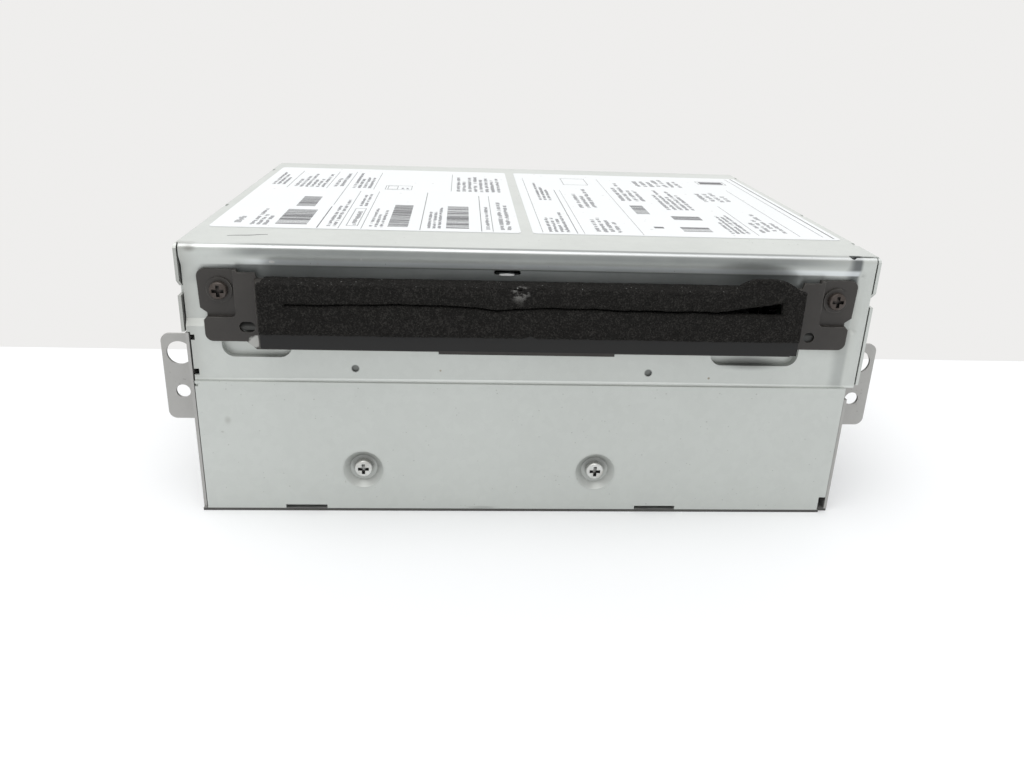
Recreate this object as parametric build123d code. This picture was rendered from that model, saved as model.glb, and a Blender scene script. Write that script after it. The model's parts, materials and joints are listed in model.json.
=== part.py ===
from build123d import *
import math
import os

# Car head unit: a steel box with a disc slot, its boards, and a sprung slot-loading disc drive.
# Millimetres. +X to the right as seen from the front, +Y to the back, +Z up.
# Everything is drawn with the front plane at y = 0 and moved to the origin when it is written.

# Box
LOWER_WIDTH = 177.5
LOWER_SHIFT = -0.75
UPPER_WIDTH = 180.8
HEIGHT = 75.0
DEPTH = 140.0
SHEET = 0.8
SHEET_GAP = 0.2
EDGE_GAP = 0.45
FOLD_RADIUS = 1.6

# Upper front, folded down from the top
SEAM_Z = HEIGHT - 36.3
LAP = 3.0
JOG_LOW = HEIGHT - 21.4
JOG_HIGH = HEIGHT - 19.6
BAND_LOW = HEIGHT - 5.5
BAND_HIGH = HEIGHT - 3.0
RECESS = 1.2
RECESS_RIGHT = 85.8
RECESS_RAMP = 1.4
SKIRT_Z = HEIGHT - 11.3
SKIRT_TAB_Z = HEIGHT - 23.0
SKIRT_STRIP_Z = HEIGHT - 35.5
SKIRT_TAB_LENGTH = 14.0
POCKETS = {"left": (-80.5, -62.6, HEIGHT - 29.6), "right": (48.2, 72.1, HEIGHT - 30.2)}
POCKET_TOP = HEIGHT - 22.2
POCKET_DEPTH = 2.0
POCKET_CORNER = 3.2
PIP_RADIUS = 0.9
PIP_DEPTH = 0.6
HOOK_CUTS = ((1.0, HEIGHT - 25.2, HEIGHT - 23.7), (1.3, HEIGHT - 34.8, HEIGHT - 33.1))
PIP_PLACES = ((-46.4, HEIGHT - 32.5), (31.8, HEIGHT - 32.7))

# Lower front
DIMPLE_PLACES = ((-45.1, 13.0), (19.3, 12.7))
DIMPLE_RADIUS = 5.5
DIMPLE_FLOOR = 3.7
DIMPLE_DEPTH = 1.6
NOTCHES = ((-66.8, -55.4), (31.3, 43.0))
NOTCH_HEIGHT = 1.1
CORNER_NOTCH = (1.9, 4.9)

# Mounting ears
EAR_Y = 6.0
EAR_REACH = 8.6
EAR_LOW = HEIGHT - 50.0
EAR_HIGH = HEIGHT - 25.6
EAR_CORNER = 2.2
EAR_HOLE_OUT = 4.1
EAR_BIG_Z = HEIGHT - 31.0
EAR_BIG_R = 3.3
EAR_SMALL_Z = HEIGHT - 42.0
EAR_SMALL_R = 1.9

# Slot flange and its foam
SLOT_Z = HEIGHT - 13.2
SLOT_HALF = 63.5
SLOT_HEIGHT = 4.6
FLANGE_HALF = 85.5
FLANGE_LOWER_HALF = 84.2
FLANGE_TOP = HEIGHT - 6.3
FLANGE_LOW = HEIGHT - 25.1
SEAT_X = 75.3
SEAT_Z = HEIGHT - 19.4
SEAT_CORNER = 2.0
FLANGE_HOLES = ((-73.4, HEIGHT - 21.2, 4.1, 2.9), (73.9, HEIGHT - 21.7, 3.0, 2.8))
SHROUD_REACH = 6.0
SHROUD_HALF = 69.2
SHROUD_LOW = HEIGHT - 25.1
SHROUD_TOP = HEIGHT - 8.4
SHROUD_FLARE = 2.1
SHROUD_TAB = (-24.5, 22.1, 0.7)
FLANGE_SCREW = (79.9, HEIGHT - 11.6)
FLANGE_HEAD_R = 2.3
FLANGE_BOSS_R = 3.3
FOAM = 2.0
FOAM_LOW = HEIGHT - 21.0
FOAM_TOP = HEIGHT - 7.6
FOAM_SLIT = 0.5
FOAM_SLIT_LEFT = -62.5
FOAM_SLIT_RIGHT = 63.2
FOAM_WEDGE_START = 50.0
FOAM_WEDGE = 2.8
FOAM_BULGE = (44.0, 50.5, 3.4)

# Screws
SCREW_R = 1.25
SCREW_HEAD_R = 2.5
SCREW_HEAD = 1.5
SCREW_FIT = 0.05
RECESS_CROSS = 0.7

# Labels on the top
LABEL = 0.12
LABEL_FRONT = 20.5
LABEL_BACK = DEPTH - 12.0
LABEL_LEFT = (-87.0, -2.5)
LABEL_RIGHT = (0.8, 87.7)

# Boards
BOARD_Z = 8.0
BOARD = 1.6
BOARD_FRONT = 14.0
BOARD_BACK = DEPTH - 2.0
BOARD_HALF = 80.0
POST_R = 2.6
POST_X = BOARD_HALF - 6.0
POST_PLACES = (
    (-POST_X, BOARD_FRONT + 6.0),
    (0.0, BOARD_FRONT + 6.0),
    (POST_X, BOARD_FRONT + 6.0),
    (-POST_X, BOARD_BACK - 10.0),
    (6.0, BOARD_BACK - 28.0),
    (POST_X, BOARD_BACK - 22.0),
)

# Heat sink
SINK_LEFT = -84.0
SINK_WIDTH = 58.0
SINK_LOW = 8.0
SINK_HIGH = 60.0
SINK_BASE = 3.0
SINK_DEPTH = 12.0
FIN = 1.4
FIN_COUNT = 12

# Flat cable to the drive
CABLE_X = 0.0
CABLE_Y = 30.0
CABLE = 0.3

# Disc drive, carried on dampers between two brackets
DECK_HALF = 75.0
DECK_FRONT = 7.0
DECK_BACK = 131.0
DECK_Z = HEIGHT - 26.0
DECK_SHEET = 1.0
DECK_TOP_Z = HEIGHT - 9.0
DECK_PLAY = 0.7
DECK_BOARD_Z = HEIGHT - 30.6
SPINDLE_Y = 72.0
DISC_R = 60.0
DISC_LOW = HEIGHT - 13.8
BRACKET_X = DECK_HALF + 4.6
BRACKET_LOW = HEIGHT - 32.0
BRACKET_HIGH = HEIGHT - 4.0
DAMPER_PLACES = (46.0, 104.0)
DAMPER_Z = HEIGHT - 18.0
DAMPER_R = 5.4
DAMPER_LENGTH = 6.0
DAMPER_NECK_R = 4.2
DAMPER_PIN_R = 1.5
DAMPER_PIN = 8.6
DAMPER_ROOM = 0.95
SPRING_PLACES = (22.0, 122.0)
SPRING_R = 1.5
SPRING_WIRE = 0.5
SPRING_TURNS = 7

# Loading roller and its train, all about axes along X
ROLLER_Y = 15.0
ROLLER_Z = HEIGHT - 17.4
ROLLER_END_R = 3.6
ROLLER_MID_R = 2.9
ROLLER_HALF = DECK_HALF - 14.0
ROLLER_GAP = 5.0
SHAFT_R = 1.0
RUN_FIT = 0.05
GEAR_MODULE = 0.6
PINION_TEETH = 12
IDLER_TEETH = 20
ROLLER_TEETH = 16
GEAR_WIDTH = 2.4
BACKLASH = 0.12
PULLEY_R = 6.2
MOTOR_PULLEY_R = 2.2
PULLEY_WIDTH = 2.2
BELT = 0.9
BELT_WIDTH = 1.7
WHEEL_GAP = 0.4
ARM_X = DECK_HALF - 10.0
ARM_SHEET = 1.0
ARM_DROP_DEG = 8.0
MOTOR_Y = 56.0
MOTOR_Z = HEIGHT - 19.8
MOTOR_R = 5.0
MOTOR_LENGTH = 18.0
MOTOR_X = 47.0

# Shift plate with cam slots, on the left wall
SHIFT_X = DECK_HALF - 2.6
SHIFT_SHEET = 0.8
SHIFT_TRAVEL = 10.0
CAM_PIN_R = 0.8
CAM_FIT = 0.3
ROLLER_CAM_Y = 20.0
CLAMP_CAM_Y = 98.0
CLAMP_CAM_Z = HEIGHT - 15.2
SHIFT_GUIDES = (54.0, 82.0)
SHIFT_GUIDE_Z = HEIGHT - 19.8

# Turntable, clamp
MOTOR_CAN_R = 12.0
TABLE_R = 14.0
TABLE_Z = HEIGHT - 16.0
CONE_R = 7.3
CLAMP_Y = 118.0
CLAMP_Z = HEIGHT - 10.1
CLAMP_DEG = 3.0
PUCK_R = 13.0
PUCK_NECK_R = 6.0
CLAMP_PIN_R = 1.0
CLAMP_SPRING_X = DECK_HALF - 10.5
CLAMP_SPRING_Y = 104.0

# Pickup
ROD_R = 1.5
ROD_FRONT_Y = 50.0
ROD_BACK_Y = 94.0
ROD_Z = HEIGHT - 20.8
ROD_LEFT = 4.0 - DECK_HALF
ROD_RIGHT = 4.0
SLED_HALF = 10.0
SLED_X = -24.0
SLED_TRAVEL = 34.0
LENS_TRAVEL = 0.6
SCREW_Y = 44.4
SCREW_PITCH = 6.0
LEAD_R = 1.4
LEAD_MOTOR_X = -10.0
LEAD_MOTOR_R = 4.0

# Rear connectors: X from, X to, Z from, Z to
MAIN_SOCKET = (12.0, 62.0, 12.0, 36.0)
BUS_SOCKET = (-23.0, -6.0, 12.0, 24.0)
DATA_SOCKET = (-4.0, 8.0, 12.0, 22.0)
JACK_R = 4.6
JACK_X = 75.0
JACK_LOW = 16.0
JACK_STEP = 14.0
SOCKET_REACH = 8.0
SOCKET_WALL = 1.4

# Reach in front and behind, which centres the object on the origin
FRONT_REACH = SHROUD_REACH + FOAM
REAR_REACH = DEPTH + SINK_DEPTH
SHIFT = Pos(-LOWER_SHIFT, -(REAR_REACH - FRONT_REACH) / 2, 0)

LEFT_WALL = LOWER_SHIFT - LOWER_WIDTH / 2
RIGHT_WALL = LOWER_SHIFT + LOWER_WIDTH / 2
UPPER_HALF = UPPER_WIDTH / 2
TOP_UNDER = HEIGHT - SHEET
PIVOT_Y = ROLLER_Y + GEAR_MODULE * (PINION_TEETH + 2 * IDLER_TEETH + ROLLER_TEETH) / 2
BOARD_TOP = BOARD_Z + BOARD
GEAR_X = ARM_X + 0.6
BELT_X = GEAR_X + GEAR_WIDTH + WHEEL_GAP + 0.65
IDLER_Y = ROLLER_Y + GEAR_MODULE * (IDLER_TEETH + ROLLER_TEETH) / 2


def box(x0, x1, y0, y1, z0, z1):
    """Block between two corners."""
    return Pos((x0 + x1) / 2, (y0 + y1) / 2, (z0 + z1) / 2) * Box(x1 - x0, y1 - y0, z1 - z0)


def rect(a0, a1, b0, b1, corner=0.0):
    """Flat rectangle between two corners, with round corners if asked."""
    place = Pos((a0 + a1) / 2, (b0 + b1) / 2)
    if corner > 0:
        return place * RectangleRounded(a1 - a0, b1 - b0, corner)
    return place * Rectangle(a1 - a0, b1 - b0)


def disc(a, b, radius):
    """Flat circle."""
    return Pos(a, b) * Circle(radius)


def outline(points):
    """Flat closed outline through points."""
    return make_face(Polyline(*points, close=True))


def slab_xz(sketch, y0, y1):
    """Sketch in X and Z, thick from y0 to y1."""
    plane = Plane(origin=(0, y1, 0), x_dir=(1, 0, 0), z_dir=(0, -1, 0))
    return extrude(plane * sketch, amount=y1 - y0)


def slab_yz(sketch, x0, x1):
    """Sketch in Y and Z, thick from x0 to x1."""
    plane = Plane(origin=(x0, 0, 0), x_dir=(0, 1, 0), z_dir=(1, 0, 0))
    return extrude(plane * sketch, amount=x1 - x0)


def slab_xy(sketch, z0, z1):
    """Sketch in X and Y, thick from z0 to z1."""
    return extrude(Plane.XY.offset(z0) * sketch, amount=z1 - z0)


def rod_x(y, z, radius, x0, x1):
    """Round bar along X."""
    return slab_yz(disc(y, z, radius), x0, x1)


def rod_y(x, z, radius, y0, y1):
    """Round bar along Y."""
    return slab_xz(disc(x, z, radius), y0, y1)


def rod_z(x, y, radius, z0, z1):
    """Round bar along Z."""
    return slab_xy(disc(x, y, radius), z0, z1)


def slot_between(a, b, radius):
    """Flat slot from one point to another, with round ends."""
    length = math.dist(a, b)
    angle = math.degrees(math.atan2(b[1] - a[1], b[0] - a[0]))
    middle = Pos((a[0] + b[0]) / 2, (a[1] + b[1]) / 2)
    return middle * Rot(0, 0, angle) * SlotOverall(length + 2 * radius, 2 * radius)


def turned(point, pivot, degrees):
    """A flat point turned about a pivot."""
    a = math.radians(degrees)
    y = point[0] - pivot[0]
    z = point[1] - pivot[1]
    return (pivot[0] + y * math.cos(a) - z * math.sin(a), pivot[1] + y * math.sin(a) + z * math.cos(a))


def screw_y(x, z, y_head, length, radius=SCREW_R, head_r=SCREW_HEAD_R):
    """Cross-head screw whose head stands in front of y_head."""
    head = rod_y(x, z, head_r, y_head - SCREW_HEAD, y_head)
    head = fillet(head.edges().filter_by(GeomType.CIRCLE).sort_by(Axis.Y)[0], 0.6)
    body = head + rod_y(x, z, radius, y_head, y_head + length)
    for tall in (0.45, 1.5):
        body -= box(x - 1.95 + tall, x + 1.95 - tall, y_head - 2, y_head - 0.5, z - tall, z + tall)
    return body


def gear_outline(teeth, bore, phase):
    """Flat spur gear with involute flanks, three points to a flank."""
    pitch_r = GEAR_MODULE * teeth / 2
    base_r = pitch_r * math.cos(math.radians(20))
    root_r = pitch_r - 1.2 * GEAR_MODULE
    tip_r = pitch_r + 0.9 * GEAR_MODULE
    half = math.pi / (2 * teeth) - BACKLASH / (2 * pitch_r)
    roll = math.tan(math.radians(20)) - math.radians(20)
    points = []
    for tooth in range(teeth):
        middle = math.radians(phase) + 2 * math.pi * tooth / teeth
        flank = []
        for radius in (max(base_r, root_r), pitch_r, tip_r):
            press = math.acos(min(1.0, base_r / radius))
            flank.append((radius, half + roll - (math.tan(press) - press)))
        flank.insert(0, (root_r, flank[0][1]))
        points += [(r * math.cos(middle - a), r * math.sin(middle - a)) for r, a in flank]
        points += [(r * math.cos(middle + a), r * math.sin(middle + a)) for r, a in reversed(flank)]
    return outline(points) - Circle(bore)


def coil(radius, wire, turns, height):
    """Open coil spring, upright, on the origin, with a straight hook at each end."""
    lead = height * 0.16
    rise = height - 2 * lead
    helix = Helix(pitch=rise / turns, height=rise, radius=radius)
    section = Plane(origin=helix @ 0, x_dir=(1, 0, 0), z_dir=helix % 0) * Rectangle(wire, wire)
    spring = sweep(section, path=helix, is_frenet=True)
    for low, high in ((-lead, 0.3), (rise - 0.3, rise + lead)):
        spring += Pos(radius, 0, (low + high) / 2) * Cylinder(wire * 0.62, high - low)
    return Pos(0, 0, lead) * spring


def front_profile(recess):
    """Section of the folded upper front, from the seam up to the fold's end, in Y and Z."""
    shift_in = SHEET * math.tan(math.atan2(RECESS, JOG_HIGH - JOG_LOW) / 2) if recess else 0.0
    shift_out = SHEET * math.tan(math.atan2(RECESS, BAND_HIGH - BAND_LOW) / 2) if recess else 0.0
    low = SEAM_Z - LAP
    outer = Polyline(
        (0, low),
        (0, JOG_LOW),
        (recess, JOG_HIGH),
        (recess, BAND_LOW),
        (0, BAND_HIGH),
        (0, HEIGHT - FOLD_RADIUS),
    )
    bend = RadiusArc((0, HEIGHT - FOLD_RADIUS), (FOLD_RADIUS, HEIGHT), FOLD_RADIUS)
    end = Line((FOLD_RADIUS, HEIGHT), (FOLD_RADIUS, TOP_UNDER))
    inner_r = FOLD_RADIUS - SHEET
    inner_bend = RadiusArc((FOLD_RADIUS, TOP_UNDER), (SHEET, TOP_UNDER - inner_r), -inner_r)
    inner = Polyline(
        (SHEET, TOP_UNDER - inner_r),
        (SHEET, BAND_HIGH + shift_out),
        (recess + SHEET, BAND_LOW + shift_out),
        (recess + SHEET, JOG_HIGH - shift_in),
        (SHEET, JOG_LOW - shift_in),
        (SHEET, low),
    )
    foot = Line((SHEET, low), (0, low))
    return make_face([outer, bend, end, inner_bend, inner, foot])


def skirt(side, strip_z):
    """One side skirt of the top cover: its front tab, the relief above, and a strip down to strip_z."""
    front = 0.1
    back = DEPTH - SHEET
    points = [
        (front + 1.1, HEIGHT),
        (front, HEIGHT - 1.1),
        (front, SKIRT_Z + 1.8),
        (front + 2.2, SKIRT_Z),
        (front + 3.4, SKIRT_Z),
        (front + 3.4, SKIRT_Z - 2.1),
        (front, SKIRT_Z - 2.1),
        (front, SKIRT_TAB_Z),
        (SKIRT_TAB_LENGTH, SKIRT_TAB_Z),
        (SKIRT_TAB_LENGTH + 4, SKIRT_Z),
        (back, SKIRT_Z),
        (back, HEIGHT),
    ]
    face = outline(points)
    if strip_z < SKIRT_TAB_Z:
        face += rect(front, EAR_Y - 3 * SHEET_GAP, strip_z, SKIRT_TAB_Z + 1)
    inner = side * (UPPER_HALF - SHEET)
    outer = side * UPPER_HALF
    return slab_yz(face, min(inner, outer), max(inner, outer))


def pocket(place, grow, y0, y1):
    """Rounded block of one pressed pocket, grown by grow all round."""
    left, right, low = place
    return slab_xz(rect(left - grow, right + grow, low - grow, POCKET_TOP + grow, POCKET_CORNER + grow), y0, y1)


def top_cover():
    """Top, upper front and side skirts, folded from one sheet."""
    edge = UPPER_HALF - SHEET - EDGE_GAP
    recessed = front_profile(RECESS)
    flush = front_profile(0.0)
    ramp_end = RECESS_RIGHT + RECESS_RAMP
    cover = slab_yz(recessed, -edge, RECESS_RIGHT) + slab_yz(flush, ramp_end, edge)
    plane = Plane(origin=(RECESS_RIGHT, 0, 0), x_dir=(0, 1, 0), z_dir=(1, 0, 0))
    cover += loft([plane * recessed, plane.offset(RECESS_RAMP) * flush], ruled=True)
    top = box(-UPPER_HALF, UPPER_HALF, FOLD_RADIUS, DEPTH, TOP_UNDER, HEIGHT)
    top += skirt(-1, SKIRT_TAB_Z) + skirt(1, SKIRT_STRIP_Z)
    rims = [e for e in top.edges().filter_by(Axis.Y) if abs(e.center().X) > UPPER_HALF - 0.01]
    cover += fillet([e for e in rims if e.center().Z > HEIGHT - 0.01], SHEET * 0.75)
    for place in POCKETS.values():
        cover += pocket(place, SHEET, 0, POCKET_DEPTH + SHEET)
        cover -= pocket(place, 0, -1, POCKET_DEPTH)
    left = LEFT_WALL + SHEET + EDGE_GAP
    cover -= box(-UPPER_HALF, left, -1, 1.9, 0, JOG_LOW - 1.6)
    for reach, low, high in HOOK_CUTS:
        cover -= box(-UPPER_HALF, left + reach, -1, 1.9, low, high)
    cover -= box(RIGHT_WALL - SHEET - EDGE_GAP, UPPER_HALF, -1, 1.9, 0, SEAM_Z)
    slot = rect(-SHROUD_HALF + 1, SHROUD_HALF - 1, JOG_HIGH + 1, SHROUD_TOP - 0.6, 1.5)
    cover -= slab_xz(slot, -1, 4)
    cover -= slab_xz(rect(-10.4, -3.6, BAND_LOW - 1.1, BAND_LOW, 0.4), -1, 4)
    cover += box(-9.0, -5.2, RECESS - 0.25, RECESS + SHEET, BAND_LOW - 1.3, BAND_LOW - 0.7)
    cover -= box(RECESS_RIGHT - 2.6, UPPER_HALF, 0.9, 1.9, TOP_UNDER - 1, HEIGHT + 1)
    cover -= rod_z(RECESS_RIGHT - 2.8, 1.4, 1.0, TOP_UNDER - 1, HEIGHT + 1)
    for x, z in PIP_PLACES:
        cover -= rod_y(x, z, PIP_RADIUS, -1, PIP_DEPTH)
    for x, z in flange_screw_places():
        cover -= rod_y(x, z, SCREW_R + SCREW_FIT, -1, 4)
    for side, place in ((-1, 49.0), (-1, 120.0), (1, 14.0), (1, 54.0), (1, 128.0)):
        x = side * UPPER_HALF
        cover -= box(min(x, x - side * 1.3), max(x, x - side * 1.3), place, place + 3.6, HEIGHT - 0.5, HEIGHT + 1)
    for x, z in cover_screw_places():
        cover -= rod_x(cover_screw_y(x, z), z, SCREW_R + 0.2, x - 3, x + 3)
    return cover


def cover_screw_places():
    """Side screws of the cover: X of the skirt's outer face and Z."""
    z = SKIRT_Z + 4.6
    return ((-UPPER_HALF, z), (UPPER_HALF, z))


def cover_screw_y(x, z):
    """Distance back of the side screws."""
    return DEPTH - 30.0


def lower_front_panel():
    """Pressed lower front with its screw dimples, bottom notches and back-folded foot."""
    left = LEFT_WALL + SHEET + EDGE_GAP
    right = RIGHT_WALL - SHEET - EDGE_GAP
    face = rect(left, right, SHEET, SEAM_Z)
    for x0, x1 in NOTCHES:
        face -= rect(x0, x1, 0, SHEET + NOTCH_HEIGHT)
    face -= rect(right - CORNER_NOTCH[0], right + 1, 0, CORNER_NOTCH[1])
    face -= rect(left - 1, left + 0.8, SEAM_Z - 1.5, SEAM_Z - 0.7)
    panel = slab_xz(face, -SHEET, 0)
    for x, z in DIMPLE_PLACES:
        panel -= rod_y(x, z, DIMPLE_RADIUS, -SHEET, 0)
        panel += Pos(x, 0, z) * dimple()
    foot = box(left + 6, right - 6, 0, 9, SHEET, 2 * SHEET)
    for x0, x1 in NOTCHES:
        foot -= box(x0, x1, -1, 2.5, 0, 3)
    return panel + foot


def dimple():
    """One conical screw dimple about the Y axis."""
    hole = SCREW_R + 0.2
    points = [
        (hole, DIMPLE_DEPTH - SHEET),
        (DIMPLE_FLOOR, DIMPLE_DEPTH - SHEET),
        (DIMPLE_RADIUS, -SHEET),
        (DIMPLE_RADIUS, 0),
        (DIMPLE_FLOOR, DIMPLE_DEPTH),
        (hole, DIMPLE_DEPTH),
    ]
    return revolve(outline(points), Axis.Y)


def base_plate():
    """Bottom sheet with rows of vent slots."""
    sheet = rect(LEFT_WALL, RIGHT_WALL, -SHEET, DEPTH)
    for row in range(6):
        for column in range(5):
            sheet -= Pos(-52 + 26 * column, 36 + 11 * row) * SlotOverall(14, 2.4)
    base = slab_xy(sheet, 0, SHEET)
    base -= box(RIGHT_WALL - SHEET - CORNER_NOTCH[0], RIGHT_WALL + 1, -1, 0.2, -1, 1)
    for x, y in POST_PLACES:
        base -= rod_z(x, y, SCREW_R + SCREW_FIT, -1, 1)
    return base


def side_plate(side):
    """Side wall with the mounting ear bent out of it, and the window that the ear leaves."""
    outer = LEFT_WALL if side < 0 else RIGHT_WALL
    inner = outer - side * SHEET
    x0, x1 = min(outer, inner), max(outer, inner)
    wall = outline([
        (0, SHEET),
        (0, JOG_LOW - 1.8),
        (4.2, JOG_LOW - 1.8),
        (4.2, TOP_UNDER - 0.3),
        (DEPTH - SHEET, TOP_UNDER - 0.3),
        (DEPTH - SHEET, SHEET),
    ])
    if side > 0:
        wall -= rect(-1, 4.2, SEAM_Z - LAP - 0.5, JOG_LOW)
    wall -= rect(EAR_Y + SHEET + 0.6, EAR_Y + EAR_REACH + 1.4, EAR_LOW, EAR_HIGH, 1.0)
    wall -= disc(EAR_Y + 2.2, EAR_BIG_Z, EAR_BIG_R * 0.75)
    for row in range(4):
        for column in range(4):
            wall -= Pos(60 + 17 * column, 14 + 6 * row) * SlotOverall(12, 2.4)
    plate = slab_yz(wall, x0, x1)
    foot0, foot1 = min(inner, inner - side * 8), max(inner, inner - side * 8)
    plate += box(foot0, foot1, 14, DEPTH - 6, SHEET, 2 * SHEET)
    tip = outer + side * EAR_REACH
    reach = (min(inner, tip), max(inner, tip))
    ear = rect(*reach, EAR_LOW, EAR_HIGH, EAR_CORNER)
    ear += rect(min(inner, outer + side * 3), max(inner, outer + side * 3), EAR_LOW, EAR_HIGH)
    hole_x = outer + side * EAR_HOLE_OUT
    ear -= disc(hole_x, EAR_BIG_Z, EAR_BIG_R)
    ear -= disc(hole_x, EAR_SMALL_Z, EAR_SMALL_R)
    plate += slab_xz(ear, EAR_Y, EAR_Y + SHEET)
    plate -= rod_x(cover_screw_y(0, 0), cover_screw_places()[0][1], SCREW_R + SCREW_FIT, x0 - 1, x1 + 1)
    for y in (30.0, 120.0):
        for z in (BRACKET_LOW + 3, ):
            plate -= rod_x(y, z, SCREW_R + SCREW_FIT, x0 - 1, x1 + 1)
    return plate


def rear_plate():
    """Back sheet with windows for the connectors and slots for air."""
    inside = SHEET + SHEET_GAP
    face = rect(LEFT_WALL + inside, RIGHT_WALL - inside, SHEET, TOP_UNDER - SHEET_GAP)
    for x0, x1, z0, z1 in connector_windows():
        face -= rect(x0 - SHEET_GAP, x1 + SHEET_GAP, z0 - SHEET_GAP, z1 + SHEET_GAP, 0.6)
    for x, z in jack_places():
        face -= disc(x, z, JACK_R + SHEET_GAP)
    for column in range(9):
        face -= Pos(-8 + 10 * column, 56) * Rot(0, 0, 90) * SlotOverall(16, 3)
    for x, z in sink_screw_places():
        face -= disc(x, z, SCREW_R + SCREW_FIT)
    return slab_xz(face, DEPTH - SHEET, DEPTH)


def connector_windows():
    """Rectangles of the rear sockets."""
    return (MAIN_SOCKET, BUS_SOCKET, DATA_SOCKET)


def jack_places():
    """Centres of the antenna jacks."""
    return tuple((JACK_X, JACK_LOW + JACK_STEP * i) for i in range(2))


def socket(window, corner, floor):
    """Open plastic socket through the rear plate, standing on the board."""
    x0, x1, z0, z1 = window
    back = DEPTH + SOCKET_REACH
    shell = slab_xz(rect(x0, x1, z0, z1, corner), DEPTH - floor, back)
    inner = rect(x0 + SOCKET_WALL, x1 - SOCKET_WALL, z0 + SOCKET_WALL, z1 - SOCKET_WALL, corner * 0.4)
    shell -= slab_xz(inner, DEPTH - floor + SOCKET_WALL, back + 1)
    foot = box(x0 + 1, x1 - 1, BOARD_BACK - 12, BOARD_BACK, BOARD_Z + BOARD, z0 + 0.4)
    return shell + foot


def main_connector():
    """Main socket with its middle web and side keys."""
    shell = socket(MAIN_SOCKET, 1.2, 13)
    x0, x1, z0, z1 = MAIN_SOCKET
    middle = (x0 + x1) / 2
    back = DEPTH + SOCKET_REACH
    shell += box(middle - 0.7, middle + 0.7, DEPTH - 12, back - 1.5, z0 + 1, z1 - 1)
    for x in (x0 + 9, x1 - 9):
        shell -= box(x - 1.5, x + 1.5, DEPTH + 1, back + 1, z1 - SOCKET_WALL - 1, z1 + 1)
    return shell


def pin_grid(window, columns, rows, length, floor):
    """Square pins standing on a socket's floor."""
    x0, x1, z0, z1 = window
    pins = Part()
    for column in range(columns):
        for row in range(rows):
            x = x0 + (x1 - x0) * (column + 0.5) / columns
            z = z0 + (z1 - z0) * (row + 0.5) / rows
            start = DEPTH - floor + SOCKET_WALL
            pins += box(x - 0.5, x + 0.5, start, start + length, z - 0.4, z + 0.4)
    return pins


def connector_pins():
    """Contact blades of the main socket."""
    return pin_grid(MAIN_SOCKET, 10, 4, 12, 13)


def bus_connector():
    """Bus socket with two round guides inside."""
    shell = socket(BUS_SOCKET, 1.0, 12)
    x0, x1, z0, z1 = BUS_SOCKET
    for x in (x0 + 5.4, x1 - 5.4):
        guide = disc(x, (z0 + z1) / 2, 2.6) - disc(x, (z0 + z1) / 2, 1.3)
        shell += slab_xz(guide, DEPTH - 11, DEPTH + 4)
    return shell


def data_connector():
    """Small data socket on a raised foot, with its tongue."""
    shell = socket(DATA_SOCKET, 1.0, 12)
    x0, x1, z0, z1 = DATA_SOCKET
    return shell + box(x0 + 4, x1 - 4, DEPTH - 11, DEPTH + 5, z0 + 4, z0 + 5.4)


def antenna_jacks():
    """Round antenna jacks, each with its centre pin."""
    jacks = Part()
    for x, z in jack_places():
        tube = rod_y(x, z, JACK_R, DEPTH - 10, DEPTH + SOCKET_REACH)
        tube -= rod_y(x, z, JACK_R - 1, DEPTH - 8, DEPTH + SOCKET_REACH + 1)
        tube += rod_y(x, z, 0.7, DEPTH - 8.5, DEPTH + 5)
        jacks += tube
    low = jack_places()[0][1]
    high = jack_places()[-1][1]
    jacks += box(JACK_X - 4, JACK_X + 4, DEPTH - 12, DEPTH - 9.9, BOARD_Z + BOARD, high + 3)
    jacks += box(JACK_X - 4, JACK_X + 4, DEPTH - 12, DEPTH - 5, BOARD_Z + BOARD, low - JACK_R + 1)
    return jacks


def sink_screw_places():
    """Corner screws of the heat sink: X and Z."""
    x0 = SINK_LEFT + 3
    x1 = SINK_LEFT + SINK_WIDTH - 3
    return tuple((x, z) for x in (x0, x1) for z in (SINK_LOW + 4, SINK_HIGH - 4))


def heat_sink():
    """Finned aluminium heat sink on the back, its base plate flat on the sheet."""
    back = DEPTH + SINK_DEPTH
    sink = box(SINK_LEFT, SINK_LEFT + SINK_WIDTH, DEPTH, DEPTH + SINK_BASE, SINK_LOW, SINK_HIGH)
    room = SINK_WIDTH - 14
    for i in range(FIN_COUNT):
        x = SINK_LEFT + 7 + room * i / (FIN_COUNT - 1)
        sink += box(x - FIN / 2, x + FIN / 2, DEPTH + SINK_BASE, back, SINK_LOW, SINK_HIGH)
    for x, z in sink_screw_places():
        sink -= rod_y(x, z, SCREW_R + 0.2, DEPTH - 1, back)
    return sink


def sink_screws():
    """Screws that hold the heat sink, heads to the back."""
    group = Part()
    for x, z in sink_screw_places():
        head = Pos(x, DEPTH + SINK_BASE, z) * Rot(0, 0, 180) * screw_y(0, 0, 0, SINK_BASE + 3)
        group += head
    return group


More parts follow.
